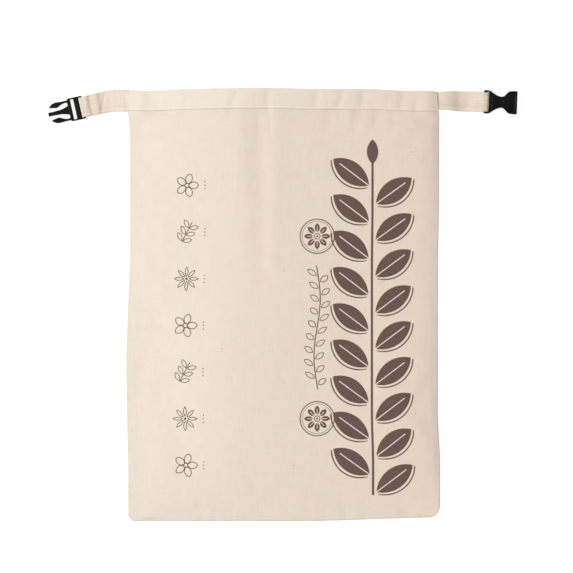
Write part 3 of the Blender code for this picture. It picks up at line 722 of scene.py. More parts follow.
def cotton_finish(name, sizes, colours, tint, warmth=warmth_of_panel, rim=edge_shade_of_panel,
                  with_print=False, creased=0.3):
    """Unbleached plain-weave cotton with slubs, husk flecks, painted shade in its creases and along its
    edges and, on the front, the print.
    """
    made, graph, shader = new_finish(name, 0.92)
    x, y = on_the_cloth(graph)
    pitch = sizes.weave / MM
    weave = threads(x, y, pitch)
    uneven = slubs(x, y, pitch)
    patches = clouded(x, y, 10.0, 12.0, 21, 3.0) * 0.05 + clouded(x, y, 2.2, 7.0, 22, 1.0) * 0.05
    # Painted shade along the edges comes from rim
    shade = 0.965 + uneven * 0.07 + patches + weave * 0.05 - rim(x, y) * EDGE_SHADE
    # Painted highlight: a lighter line along the stitches, where their ridge catches the light
    shade = shade + inked(abs(y - (STITCH_Y / MM + 0.1)) - 0.5, 0.4) * 0.035
    shade = shade + inked(HEM_EDGE / MM - y, 0.4) * 0.03
    warmer = clouded(x, y, 9.0, 16.0, 23, 3.0) * 1.5 + warmth(x, y)
    plain = mixed(graph, clamped(warmer), opaque(colours.cool), opaque(tint))
    colour = brightened(graph, plain, shade)
    # Painted shade: the cloth darkens towards the shade colour by the depth of its creases
    colour = mixed(graph, clamped(in_a_crease(graph) * creased), colour, opaque(colours.crease_shade))
    specks = flecks(x, y, 19.0, 0.42, 0.10, 1) * 0.3 + flecks(x, y, 61.0, 0.65, 0.2, 7) * 0.45
    colour = mixed(graph, specks, colour, opaque(colours.husk))
    rough = 0.92 + uneven * 0.05
    if with_print:
        # Painted shadow under the hem's edge, in the same shade colour
        colour = mixed(graph, hem_shade(x, y) * 0.7, colour, opaque(colours.crease_shade))
        colour = mixed(graph, olive_thread(x, y) * 0.6, colour, opaque(colours.olive))
        ink = printed_ink(x, y)
        cover = 0.96 + clouded(x, y, 2.2, 2.2, 33) * 0.08 + (weave - 0.6) * 0.12
        colour = mixed(graph, clamped(ink * cover), colour, opaque(colours.ink))
        rough = rough - ink * 0.10
    graph.feed(shader.inputs["Base Color"], colour)
    graph.feed(shader.inputs["Roughness"], rough)
    roughened(graph, shader, weave + uneven * 0.8, 0.55, 0.16 * MM)
    shader.inputs["Sheen Weight"].default_value = 0.12
    shader.inputs["Sheen Roughness"].default_value = 0.5
    shader.inputs["Specular IOR Level"].default_value = 0.25
    return made


def thread_finish(colours):
    """Sewing thread: two plies that twist round each other."""
    made, graph, shader = new_finish("sewing_thread", 0.7)
    x, y, _ = in_place(graph)
    twist = math_of("SINE", (x + y) * (2 * math.pi / 0.7))
    shade = twist * 0.05 + 0.98 + clouded(x, y, 6.0, 6.0, 41) * 0.06
    colour = brightened(graph, tuple(colours.thread), shade)
    graph.feed(shader.inputs["Base Color"], colour)
    graph.feed(shader.inputs["Roughness"], 0.7 + twist * 0.04)
    roughened(graph, shader, twist, 0.4, 0.06 * MM)
    shader.inputs["Sheen Weight"].default_value = 0.15
    return made


def plastic_finish(colours):
    """Moulded black plastic with a fine spark texture, faint flow marks and rubbed places."""
    made, graph, shader = new_finish("moulded_plastic", 0.4)
    x, y, z = in_place(graph)
    spark = clouded(x, y, 0.22, 0.22, z * 4.0, 3.0)
    flow = clouded(x, y, 9.0, 2.5, z * 0.4 + 52.0)
    rubbed = clamped(clouded(x, y, 3.0, 3.0, z * 0.3 + 53.0) * 5.0 - 0.6)
    colour = mixed(graph, rubbed * 0.25, opaque(colours.plastic), opaque(colours.rubbed))
    graph.feed(shader.inputs["Base Color"], brightened(graph, colour, flow * 0.3 + 1.0))
    graph.feed(shader.inputs["Roughness"], 0.36 + spark * 0.14 + rubbed * 0.08 + flow * 0.05)
    roughened(graph, shader, spark, 0.3, 0.03 * MM)
    shader.inputs["Specular IOR Level"].default_value = 0.28
    return made


def floor_finish(colours):
    """A plain pale sweep that is lit through a little, as on a light table."""
    made, _, shader = new_finish("pale_floor", 0.95)
    shader.inputs["Base Color"].default_value = opaque(colours.floor)
    shader.inputs["Emission Color"].default_value = (1.0, 1.0, 1.0, 1.0)
    shader.inputs["Emission Strength"].default_value = 0.88
    shader.inputs["Specular IOR Level"].default_value = 0.0
    return made


def eased(t):
    """0 below 0, 1 above 1, and a smooth rise between."""
    t = np.clip(t, 0.0, 1.0)
    return t * t * (3 - 2 * t)


def bell(distance, width):
    """1 at 0 and gone beyond about two widths."""
    return np.exp(-((distance / width) ** 2))


def read_along(rows, place):
    """The value of a table of (place, value) rows in mm, with its corners rounded off."""
    places = [row[0] * MM for row in rows]
    values = [row[1] * MM for row in rows]
    near = [np.interp(place + step * EDGE_SMOOTHING, places, values) for step in (-2, -1, 0, 1, 2)]
    return sum(near) / len(near)


def random_line(place, spacing, seed):
    """Smooth random numbers from -1 to 1 along a line."""
    numbers = np.random.default_rng(seed).uniform(-1, 1, 2048)
    steps = place / spacing + 1024
    low = np.floor(steps).astype(int)
    share = eased(steps - low)
    return numbers[low] * (1 - share) + numbers[low + 1] * share


def random_field(x, y, size_x, size_y, seed):
    """Smooth random numbers from -1 to 1 over an area."""
    numbers = np.random.default_rng(seed).uniform(-1, 1, (256, 256))
    steps_x, steps_y = x / size_x + 128, y / size_y + 128
    low_x, low_y = np.floor(steps_x).astype(int), np.floor(steps_y).astype(int)
    share_x, share_y = eased(steps_x - low_x), eased(steps_y - low_y)
    lower = numbers[low_x, low_y] * (1 - share_x) + numbers[low_x + 1, low_y] * share_x
    upper = numbers[low_x, low_y + 1] * (1 - share_x) + numbers[low_x + 1, low_y + 1] * share_x
    return lower * (1 - share_y) + upper * share_y


def rounded_corners(x, y):
    """Moves the points near each corner so that the corner follows an arc."""
    x, y = x.copy(), y.copy()
    for side, end, radius in CORNERS:
        end_y = TOP_Y if end > 0 else BOTTOM_Y
        inner_x = side * (HALF_WIDTH - radius)
        inner_y = end_y - end * radius
        across = side * (x - inner_x) / radius
        up = end * (y - inner_y) / radius
        inside = (across > 0) & (up > 0)
        new_x = inner_x + side * radius * across * np.sqrt(np.maximum(0, 1 - up * up / 2))
        new_y = inner_y + end * radius * up * np.sqrt(np.maximum(0, 1 - across * across / 2))
        x, y = np.where(inside, new_x, x), np.where(inside, new_y, y)
    return x, y


def outlined(x, y):
    """Where points of the plain rectangle lie on the bag as it is laid."""
    x, y = rounded_corners(x, y)
    edge_x = np.where(x > 0, read_along(RIGHT_EDGE, y), read_along(LEFT_EDGE, y))
    edge_y = np.where(y > 0, read_along(TOP_EDGE, x), -read_along(BOTTOM_EDGE, x))
    end_y = np.where(y > 0, TOP_Y, -BOTTOM_Y)
    return x + edge_x * x / HALF_WIDTH, y + edge_y * np.abs(y) / end_y


def edge_distance(x, y):
    """How far points are from the nearest sewn edge."""
    return np.minimum(HALF_WIDTH - np.abs(x), y - BOTTOM_Y)


def at_straps(x, y):
    """1 beside the straps' caught ends and 0 away from them."""
    along_y = eased((y - HEM_EDGE + HEM_SOFT) / (HEM_SOFT - 2 * MM))
    along_x = eased((np.abs(x) - HALF_WIDTH + STRAP_ROOM_WIDTH) / STRAP_ROOM_EASING)
    return along_x * along_y


def under_strap(y):
    """1 where a strap goes through the side seam."""
    from_edge = STRAP_WIDTH / 2 + STRAP_SEAM_EASING
    low = eased((y - STRAP_Y + from_edge) / STRAP_SEAM_EASING)
    high = eased((STRAP_Y + from_edge - y) / STRAP_SEAM_EASING)
    return low * high


def in_hem(y):
    """0 in the body of a cloth and 1 in its hem."""
    return eased((y - HEM_EDGE + HEM_STEP) / HEM_STEP)


def hem_rise(y):
    """How much higher the front cloth lies over the back cloth's hem, with a soft start."""
    return (HEM_LAYER - LAYER) * eased((y - HEM_EDGE + HEM_SOFT) / (HEM_SOFT - MM))


def puff(x, y):
    """How far the two cloths stand apart because of the air between them."""
    side = np.where(x < CROWN_X, CROWN_X - x, x - CROWN_X)
    side = side / np.where(x < CROWN_X, HALF_WIDTH + CROWN_X, HALF_WIDTH - CROWN_X)
    slope = (np.hypot(side, CROWN_WIDTH) - CROWN_WIDTH) / (math.hypot(1, CROWN_WIDTH) - CROWN_WIDTH)
    low = np.maximum(0.0, (BOTTOM_Y + BOTTOM_CLOSING - y) / BOTTOM_CLOSING)
    high = np.maximum(0.0, (y - MOUTH_SINK_FROM) / (TOP_Y - MOUTH_SINK_FROM))
    held = MOUTH_HOLD * in_hem(y + HEM_SOFT) * high
    drop = np.where(x < CROWN_X, LEFT_DROP, RIGHT_DROP * (1 - held))
    across = 1 - (1 - drop) * slope - drop * side**DROP_POWER
    return across * (1 - low**4) * (1 - MOUTH_SINK * high * high)


def fold_depth(table, x, y):
    """The depth of all folds of a table at each point."""
    depth = np.zeros_like(x)
    for x0, y0, x1, y1, half_width, fold in table:
        run_x, run_y = (x1 - x0) * MM, (y1 - y0) * MM
        run = math.hypot(run_x, run_y)
        ahead_x, ahead_y = x - x0 * MM, y - y0 * MM
        along = (ahead_x * run_x + ahead_y * run_y) / run
        beside = (ahead_x * run_y - ahead_y * run_x) / run
        past = np.maximum(0.0, np.maximum(-along, along - run))
        depth += fold * MM * bell(np.hypot(beside, past), half_width * MM)
    return depth


def slow_wave(x, y):
    """The uneven rise and fall of cloth that was smoothed out by hand."""
    first = np.sin(x / (31 * MM) + 0.7) * np.sin(y / (44 * MM) + 0.4)
    second = np.sin((x + y) / (57 * MM) + 2.1)
    return WAVE * (first + 0.7 * second)


def curled_up(x, y):
    """How far the seams curl up off the surface."""
    share = np.maximum(0.0, 1 - edge_distance(x, y) / EDGE_LIFT_WIDTH)
    return EDGE_LIFT * share * share * (1 - at_straps(x, y))


def seam_relief(x, y, seed):
    """Small puckers along the sewn edges, and the ridge of the turned-in edges under the cloth."""
    from_side = HALF_WIDTH - np.abs(x)
    from_bottom = y - BOTTOM_Y
    right_pull = random_line(y, RIGHT_SEAM_SPACING, seed)
    left_pull = random_line(y, LEFT_SEAM_SPACING, seed + 1)
    bottom_pull = random_line(x, BOTTOM_SEAM_SPACING, seed + 2)
    fading = np.clip((HEM_EDGE - y) / SEAM_PUCKER_FADE, 0, 1)
    pulled = np.where(x > 0, right_pull, left_pull)
    pulled = pulled * bell(from_side - SEAM_PUCKER_AT, SEAM_PUCKER_REACH) * fading
    pulled += bottom_pull * bell(from_bottom - SEAM_PUCKER_AT, SEAM_PUCKER_REACH)
    wander = random_line(x + y, SEAM_WANDER_SPACING, seed + 3) * SEAM_WANDER
    ridge = eased((SEAM_ALLOWANCE + wander - edge_distance(x, y)) / SEAM_RIDGE_EASING)
    return SEAM_PUCKER * pulled + SEAM_RIDGE * ridge * (1 - in_hem(y))


def hem_relief(x, y, seed):
    """The stitches' groove and its puckers, and the faint line of the turned-in edge."""
    close, wide = PUCKER_SPACING
    pull = random_line(x, close, seed) + WIDE_PUCKER * random_line(x, wide, seed + 1)
    pulled = PUCKER * pull * bell(y - STITCH_Y, PUCKER_REACH)
    groove = STITCH_GROOVE * bell(y - STITCH_Y, STITCH_GROOVE_WIDTH)
    wander = random_line(x, FOLD_LINE_SPACING, seed + 2) * FOLD_LINE_WANDER
    line = FOLD_LINE * bell(y - FOLD_LINE_Y - wander, FOLD_LINE_WIDTH)
    return pulled - groove - line


def crumple(x, y, seed):
    """A soft unevenness all over."""
    wide, fine = (random_field(x, y, *size, seed + k) for k, size in enumerate(CRUMPLE_SIZES))
    return CRUMPLE * (wide + FINE_CRUMPLE * fine)


def front_top(x, y):
    """The height of the front cloth's outer face, without its turn at the edges."""
    apart = puff(x, y)
    seated = curled_up(x, y) + LAYER + hem_rise(y) + CLEARANCE + STRAP_ROOM * at_straps(x, y)
    thickness = LAYER + (HEM_LAYER - LAYER) * in_hem(y)
    soft = np.minimum(1.0, apart * 5)
    loose = slow_wave(x, y) - fold_depth(FOLDS, x, y)
    fine = seam_relief(x, y, 60) + hem_relief(x, y, 70) + crumple(x, y, 80) * soft
    high = seated + thickness + PUFF * apart + soft * loose + fine - fold_depth(CREASES, x, y)
    return high - np.where(x > 0, RIGHT_SINK, LEFT_SINK) * sunk(x, y)


def sunk(x, y):
    """How far the front cloth has fallen to the seam over a strap, from 0 to 1."""
    low = eased((y - STRAP_Y + STRAP_WIDTH / 2 + SINK_EASING) / SINK_EASING)
    return eased((np.abs(x) - HALF_WIDTH + SINK_WIDTH) / SINK_WIDTH) * low


def back_under(x, y):
    """The height of the back cloth's outer face, which lies on the surface."""
    free = 1 - at_straps(x, y)
    groove = HEM_GROOVE * bell(y - STITCH_Y, HEM_GROOVE_WIDTH)
    lifted = np.maximum(0.0, seam_relief(x, y, 90))
    lifted += np.maximum(0.0, crumple(x, y, 95)) * (1 - in_hem(y))
    return curled_up(x, y) + (groove + lifted) * free


def read_roll(roll):
    """The columns of the table of a turn: how far inwards each line is, and its share."""
    return [inwards * MM for inwards, _ in roll], [share for _, share in roll]


def lines_over(half_width, roll, cell):
    """Lines from edge to edge: where each is, and its share of the height as the edges turn."""
    inwards, shares = read_roll(roll)
    inner = half_width - inwards[-1]
    middle = list(np.linspace(-inner, inner, round(2 * inner / cell) + 1))[1:-1]
    places = [-half_width + d for d in inwards] + middle + [half_width - d for d in reversed(inwards)]
    return np.array(places), np.array(shares + [1.0] * len(middle) + shares[::-1])


def cloth_rows(cell):
    """Lines across a cloth: where each is, and its shares of the turns at the bottom and the mouth."""
    inwards, shares = read_roll(SEAM_ROLL)
    mouth_inwards, mouth_shares = read_roll(MOUTH_ROLL)
    start = BOTTOM_Y + inwards[-1]
    body_end = HEM_EDGE - HEM_SOFT
    band_start = STITCH_Y + 1.2 * MM
    band_end = TOP_Y - mouth_inwards[-1]
    body = np.linspace(start, body_end, round((body_end - start) / cell) + 1)[1:]
    rise = np.arange(body_end + HEM_CELL, HEM_EDGE - HEM_STEP - 0.3 * MM, HEM_CELL)
    step = np.arange(HEM_EDGE - HEM_STEP - 0.1 * MM, band_start, HEM_STEP_CELL)
    band = np.linspace(band_start, band_end, round((band_end - band_start) / HEM_CELL) + 1)[:-1]
    middle = np.concatenate([body, rise, step, band])
    places = [BOTTOM_Y + d for d in inwards] + list(middle) + [TOP_Y - d for d in reversed(mouth_inwards)]
    low = shares + [1.0] * (len(middle) + len(mouth_inwards))
    high = [1.0] * (len(inwards) + len(middle)) + mouth_shares[::-1]
    return np.array(places), np.array(low), np.array(high)


def cloth_faces(cell, outer_height, sizes, side):
    """The outer and inner faces of a cloth: side is 1 for the front cloth and -1 for the back."""
    column_x, side_share = lines_over(HALF_WIDTH, SEAM_ROLL, cell)
    row_y, low_share, mouth_share = cloth_rows(cell)
    x, y = np.meshgrid(column_x, row_y)
    share = side_share[None, :] * low_share[:, None]
    roll_width = SEAM_ROLL[-1][0] * MM
    flat_x = np.clip(x, roll_width - HALF_WIDTH, HALF_WIDTH - roll_width)
    flat_y = np.maximum(y, BOTTOM_Y + roll_width)
    top, under = front_top(flat_x, flat_y), back_under(flat_x, flat_y)
    gap = SEAM_GAP + (STRAP_SEAM_GAP - SEAM_GAP) * under_strap(y)
    seam = (top + under) / 2 + side * gap
    outer = seam + (outer_height(flat_x, flat_y) - seam) * share
    pressed = np.where(x > 0, RIGHT_PRESSED, LEFT_PRESSED) * sunk(flat_x, flat_y)
    thickness = sizes.cloth + (sizes.hem - sizes.cloth) * in_hem(y)
    inner = outer - side * thickness * share * (1 - pressed)
    middle = (outer + inner) / 2
    outer = middle + (outer - middle) * mouth_share[:, None]
    inner = middle + (inner - middle) * mouth_share[:, None]
    laid_x, laid_y = outlined(x, y)
    # The painted shade of the front cloth's creases and narrow folds, as a depth in mm; ridges are below 0
    creases = x * 0
    if side > 0:
        narrow = [row for row in FOLDS if row[4] <= NARROW_FOLD]
        creases = (NARROW_FOLD_SHADE * fold_depth(narrow, x, y) + fold_depth(CREASES, x, y)) / MM
    outer, inner = np.stack([laid_x, laid_y, outer], -1), np.stack([laid_x, laid_y, inner], -1)
    return outer, inner, np.stack([x, y], -1), creases


def fill_grid(bm, points, cut, creases, flipped, finish_number):
    """Adds a grid of points to a bmesh and returns its vertices on the border."""
    rows, columns = points.shape[:2]
    before = len(bm.faces)
    made = bmesh.ops.create_grid(bm, x_segments=columns - 1, y_segments=rows - 1, size=1)["verts"]
    in_cut, in_crease = bm.loops.layers.uv["cut"], bm.verts.layers.float["crease_shade"]
    border, places = [], {}
    for vert in made:
        column = round((vert.co.x + 1) / 2 * (columns - 1))
        row = round((vert.co.y + 1) / 2 * (rows - 1))
        places[vert] = (row, column)
        if column in (0, columns - 1) or row in (0, rows - 1):
            border.append(vert)
    for vert, place in places.items():
        vert.co = points[place]
        vert[in_crease] = creases[place]
    bm.faces.ensure_lookup_table()
    faces = bm.faces[before:]
    for face in faces:
        face.material_index = finish_number
        face.smooth = True
        for loop in face.loops:
            loop[in_cut].uv = cut[places[loop.vert]]
    if flipped:
        bmesh.ops.reverse_faces(bm, faces=faces)
    return border


def closed_sheet(name, outer, inner, cut, creases, flipped, finishes):
    """A sheet with two faces that meet all round, as one closed mesh."""
    bm = bmesh.new()
    bm.loops.layers.uv.new("cut")
    bm.verts.layers.float.new("crease_shade")
    border = fill_grid(bm, outer, cut, creases, flipped, 0)
    border += fill_grid(bm, inner, cut, creases * 0, not flipped, len(finishes) - 1)
    bmesh.ops.remove_doubles(bm, verts=border, dist=WELD / 2)
    return piece_from(bm, name, finishes)


def piece_from(bm, name, finishes):
    """An object made of a bmesh, in the scene."""
    mesh = bpy.data.meshes.new(name)
    bm.to_mesh(mesh)
    bm.free()
    for finish in finishes:
        mesh.materials.append(finish)
    made = bpy.data.objects.new(name, mesh)
    bpy.context.scene.collection.objects.link(made)
    return made


def add_line(curve, places, closed):
    """Adds a line through these places to a curve."""
    spline = curve.splines.new("POLY")
    spline.points.add(len(places) - 1)
    for point, place in zip(spline.points, places):
        point.co = (*place, 1)
    spline.use_cyclic_u = closed


def surface_of(name, curve):
    """The surface of a curve, welded, as a bmesh."""
    drawn = bpy.data.objects.new(name, curve)
    bpy.context.scene.collection.objects.link(drawn)
    view = bpy.context.evaluated_depsgraph_get()
    mesh = bpy.data.meshes.new_from_object(drawn.evaluated_get(view))
    bpy.data.objects.remove(drawn, do_unlink=True)
    bm = bmesh.new()
    bm.from_mesh(mesh)
    bpy.data.meshes.remove(mesh)
    bmesh.ops.remove_doubles(bm, verts=bm.verts, dist=WELD)
    return bm


def thread_piece(name, paths, thickness, finish):
    """Stitches: one short thread for each path, as one mesh."""
    curve = bpy.data.curves.new(name, "CURVE")
    curve.dimensions = "3D"
    curve.bevel_depth = thickness / 2
    curve.bevel_resolution = 1
    curve.use_fill_caps = True
    for path in paths:
        add_line(curve, path, False)
    bm = surface_of(name, curve)
    for face in bm.faces:
        face.smooth = True
    return piece_from(bm, name, [finish])


def stitch_paths(place_of, start, end, sizes, seed):
    """Paths of running stitches: place_of gives a point from the place along the row and the lift."""
    pitch = sizes.stitch + sizes.stitch_gap
    count = int((end - start) / pitch)
    uneven = np.random.default_rng(seed).uniform(-1, 1, (count, 3))
    shares = np.linspace(0, 1, 7)
    lifts = sizes.thread * (0.75 * np.sin(shares * math.pi) ** 0.6 - 0.35)
    paths = []
    for k, (at_start, at_end, aside) in enumerate(uneven * STITCH_WANDER):
        first = start + k * pitch + at_start
        length = sizes.stitch + at_end
        paths.append([place_of(first + length * t, aside, h) for t, h in zip(shares, lifts)])
    return paths


def smooth_run(points):
    """Points on a smooth curve through these points."""
    padded = [points[0], *points, points[-1]]
    made = []
    for k in range(len(points) - 1):
        a, b, c, d = (np.array(padded[k + n]) for n in range(4))
        for t in np.arange(RUN_STEPS) / RUN_STEPS:
            made.append(
                0.5 * (2 * b + (c - a) * t + (2 * a - 5 * b + 4 * c - d) * t**2
                       + (3 * b - a - 3 * c + d) * t**3)
            )
    return [*made, np.array(points[-1])]


def arc(centre, radius, start, end):
    """Points on an arc in a strap's side view."""
    count = max(2, round(abs(end - start) / ARC_STEP))
    angles = np.linspace(start, end, count + 1)
    return [np.array((centre[0] + radius * math.cos(a), centre[1] + radius * math.sin(a))) for a in angles]


def strap_profile(run, bar_start, bar_end, bar_low, bar_high):
    """A strap's side view: in from the seam, over the bar, round it, and back underneath."""
    off_bar = CLEARANCE + STRAP_LAYER / 2
    turn = BAR_ROUNDING + off_bar
    over = bar_high + off_bar
    under = bar_low - off_bar
    on_floor = STRAP_LAYER / 2 + 0.05 * MM
    free = smooth_run([(d * MM, z * MM) for d, z in run] + [(bar_start + BAR_CORNER, over)])
    high_turn = arc((bar_end - BAR_CORNER, over - turn), turn, math.pi / 2, 0)
    low_turn = arc((bar_end - BAR_CORNER, under + turn), turn, 0, -math.pi / 2)
    back = smooth_run(
        [
            (bar_start, under),
            (bar_start - 3.5 * MM, max(on_floor, under - 0.9 * MM)),
            (bar_start - 7 * MM, on_floor),
            (bar_start - RETURN_LENGTH / 2 - 3 * MM, on_floor),
            (bar_start - RETURN_LENGTH, on_floor),
        ]
    )
    return np.array(free + high_turn + low_turn + back)


class Strip:
    """A strap's run: it turns distances along and across it into places."""

    def __init__(self, side, profile, slot_at, turn_at, turn_length, turn, tables):
        self.side = side
        self.slot_at = slot_at
        self.folds, self.narrowed, self.drift = tables
        steps = np.linalg.norm(np.diff(profile, axis=0), axis=1)
        along = np.concatenate([[0], np.cumsum(steps)])
        self.length = along[-1]
        self.along = np.linspace(0, self.length, round(self.length / STRAP_CELL) + 1)
        self.ahead = np.interp(self.along, along, profile[:, 0])
        self.height = np.interp(self.along, along, profile[:, 1])
        slope_ahead, slope_up = np.gradient(self.ahead), np.gradient(self.height)
        size = np.hypot(slope_ahead, slope_up)
        self.normal_ahead, self.normal_up = -slope_up / size, slope_ahead / size
        self.seen = np.arange(-10 * MM, 90 * MM, SEEN_STEP)
        self.heading = turn * eased((self.seen - turn_at) / turn_length + 0.5)
        start = np.searchsorted(self.seen, 0.0)
        gone_x = np.cumsum(np.cos(self.heading)) * SEEN_STEP
        gone_y = np.cumsum(np.sin(self.heading)) * SEEN_STEP
        self.seen_x = side * (BAG_SIDE_X - STRAP_CAUGHT + gone_x - gone_x[start])
        self.seen_y = STRAP_Y - gone_y + gone_y[start]

    def place(self, along, across, lift):
        """Points in the row frame: along the strap, from its middle, and off its middle layer."""
        lift_ahead = np.interp(along, self.along, self.normal_ahead) * lift
        lift_up = np.interp(along, self.along, self.normal_up) * lift
        ahead = np.interp(along, self.along, self.ahead) + lift_ahead
        z = np.interp(along, self.along, self.height) + lift_up
        heading = np.interp(ahead, self.seen, self.heading)
        x = np.interp(ahead, self.seen, self.seen_x) + across * np.sin(heading) * self.side
        middle = np.interp(ahead, self.seen, self.seen_y) + read_along(self.drift, ahead)
        return np.stack([x, middle + across * np.cos(heading), z], -1)

    def half_width(self, along):
        """Half the strap's width, which the buckle's slot narrows."""
        pinched = eased((along - self.slot_at + 0.3 * MM) / (2.2 * MM))
        plain = (STRAP_WIDTH + (STRAP_IN_SLOT - STRAP_WIDTH) * pinched) / 2
        return plain - read_along(self.narrowed, along)

    def relief(self, along, across, wide):
        """Folds, stitch grooves, the turned-in edge and the ribs of the pinched cloth."""
        raised = -self.fold_depth(along, across)
        from_edge = across + wide
        raised -= STRAP_GROOVE * bell(from_edge - STRAP_STITCHES, STRAP_GROOVE_WIDTH)
        raised += TURNED_LAYER * eased((TURNED_EDGE - from_edge) / TURNED_EASING)
        raised += STRAP_CRUMPLE * random_field(along, across, 5 * MM, 4 * MM, 6)
        return raised + self.ribs(along, across)

    def ribs(self, along, across):
        """The height of the ribs that run lengthwise where the buckle pinches the cloth."""
        pinch = eased((along - self.slot_at + 8 * MM) / (5 * MM))
        wave = np.sin(across / RIB_PITCH_ON_STRAP + 1.2 * random_line(across, 4 * MM, 5))
        return RIB_HEIGHT_ON_STRAP * pinch * wave * (0.6 + 0.4 * random_line(along, 4 * MM, 7))

    def fold_depth(self, along, across):
        """The depth of the folds that cross the strap."""
        depth = np.zeros_like(along)
        for at, half_width, fold, slant in self.folds:
            middle = at * MM - across / STRAP_WIDTH * slant * MM
            depth += fold * MM * bell(along - middle, half_width * MM)
        return depth


def left_strip():
    """The strap that carries the prong half."""
    bar_start = LEFT_TURN_AT + (
        (-PRONG_HALF_X - BAG_SIDE_X + STRAP_CAUGHT - LEFT_TURN_AT) / math.cos(LEFT_TURN)
    )
    profile = strap_profile(LEFT_RUN, bar_start, bar_start + OUTER_BAR, OUTER_BAR_LOW, OUTER_BAR_HIGH)
    tables = LEFT_STRAP_FOLDS, LEFT_NARROWED, LEFT_DRIFT
    return Strip(-1, profile, bar_start, LEFT_TURN_AT, LEFT_TURN_LENGTH, LEFT_TURN, tables)


def right_strip():
    """The strap that carries the socket half."""
    bar_start = SOCKET_HALF_X + SOCKET_BAR_START - BAG_SIDE_X + STRAP_CAUGHT
    bar_end = bar_start + SOCKET_BAR_END - SOCKET_BAR_START
    profile = strap_profile(RIGHT_RUN, bar_start, bar_end, SOCKET_BAR_LOW, SOCKET_BAR_HIGH)
    tables = RIGHT_STRAP_FOLDS, RIGHT_NARROWED, RIGHT_DRIFT
    return Strip(1, profile, bar_start, bar_start / 2, bar_start, -RIGHT_TURN, tables)


def strap_piece(name, strip, layer, finish):
    """A strap as a closed sheet with rounded edges."""
    across, edge_share = lines_over(STRAP_WIDTH / 2, STRAP_ROLL, STRAP_CROSS_CELL)
    from_end = np.minimum(strip.along, strip.length - strip.along)
    end_share = np.minimum(1.0, np.sqrt(from_end / STRAP_END))
    along, aside = np.meshgrid(strip.along, across)
    wide = strip.half_width(along)
    aside = aside * wide * 2 / STRAP_WIDTH
    share = edge_share[:, None] * end_share[None, :]
    relief = strip.relief(along, aside, wide)
    outer = strip.place(along, aside, layer / 2 * share + relief * share)
    lower = strip.place(along, aside, -layer / 2 * share)
    for layer_points in (outer, lower):
        layer_points[..., 2] = np.maximum(layer_points[..., 2], FLOOR_GAP)
    # Painted shade: folds, the turned-in edge and the grooves between the ribs darken the strap by their
    # depth
    turned_in_shade = TURNED_SHADE * bell(aside + wide - TURNED_EDGE, STRAP_GROOVE_WIDTH)
    creases = (strip.fold_depth(along, aside) + turned_in_shade - RIB_SHADE * strip.ribs(along, aside)) / MM
    cut = np.stack([along, aside], -1)
    return closed_sheet(name, outer, lower, cut, creases, strip.side < 0, [finish])


def filleted(corners):
    """An outline of (along, across, radius) corners in mm, with each corner turned into an arc."""
    points = []
    for k, (along, across, radius) in enumerate(corners):
        here = np.array((along, across))
        before = np.array(corners[k - 1][:2]) - here
        after = np.array(corners[(k + 1) % len(corners)][:2]) - here
        before_length, after_length = np.linalg.norm(before), np.linalg.norm(after)
        before, after = before / before_length, after / after_length
        half_angle = math.acos(float(np.clip(before @ after, -1, 1))) / 2
        if radius == 0 or half_angle > NEARLY_STRAIGHT:
            points.append(here)
            continue
        reach = min(radius / math.tan(half_angle), 0.45 * before_length, 0.45 * after_length)
        radius = reach * math.tan(half_angle)
        middle = before + after
        centre = here + middle / np.linalg.norm(middle) * radius / math.sin(half_angle)
        start, end = here + before * reach - centre, here + after * reach - centre
        sweep = math.atan2(start[0] * end[1] - start[1] * end[0], start @ end)
        for a in np.linspace(0, sweep, max(1, round(abs(sweep) / ARC_STEP)) + 1):
            points.append(
                centre + (start[0] * math.cos(a) - start[1] * math.sin(a),
                          start[0] * math.sin(a) + start[1] * math.cos(a))
            )
    return [point * MM for point in points]


def mirrored(corners):
    """The whole outline of a half one that starts and ends on the middle line."""
    other = [(along, -across, radius) for along, across, radius in reversed(corners)]
    return [row for row in [*corners, *other] if row[1] != 0]


def flat_shape(name, outlines, low, high, rounding, finish):
    """A plate with rounded rims, filled between its outline and the outlines of its holes."""
    curve = bpy.data.curves.new(name, "CURVE")
    curve.dimensions = "2D"
    curve.fill_mode = "BOTH"
    curve.extrude = (high - low) / 2 - rounding
    curve.bevel_depth = rounding
    curve.bevel_resolution = 3
    curve.offset = -rounding
    curve.render_resolution_u = 0
    for outline in outlines:
        add_line(curve, [(along, across, 0) for along, across in outline], True)
    bm = surface_of(name, curve)
    bmesh.ops.translate(bm, verts=bm.verts, vec=(0, 0, (low + high) / 2))
    return piece_from(bm, name, [finish])


def block(name, low, high, rounding=0.0):
    """A box between two corners, with rounded edges if asked."""
    low, high = np.array(low), np.array(high)
    bm = bmesh.new()
    bmesh.ops.create_cube(bm, size=1)
    bmesh.ops.scale(bm, verts=bm.verts, vec=tuple(high - low))
    bmesh.ops.translate(bm, verts=bm.verts, vec=tuple((low + high) / 2))
    if rounding:
        bmesh.ops.bevel(bm, geom=bm.edges[:], offset=rounding, segments=3, profile=0.5, affect="EDGES")
    return piece_from(bm, name, [])


def joints_closed(mesh):
    """Where an open edge passes a corner of its neighbour, splits it there and joins the two."""
    bm = bmesh.new()
    bm.from_mesh(mesh)
    loose = [edge for edge in bm.edges if edge.is_boundary]
    corners = {vert for edge in loose for vert in edge.verts}
    met = set()
    for edge in loose:
        start, end = edge.verts
        whole = edge.calc_length()
        for corner in corners - {start, end}:
            before, after = (corner.co - start.co).length, (corner.co - end.co).length
            if before + after - whole < 0.1 * WELD:
                _, made = bmesh.utils.edge_split(edge, start, before / whole)
                met.update((made, corner))
                break
    bmesh.ops.remove_doubles(bm, verts=list(met), dist=WELD)
    bm.to_mesh(mesh)
    bm.free()


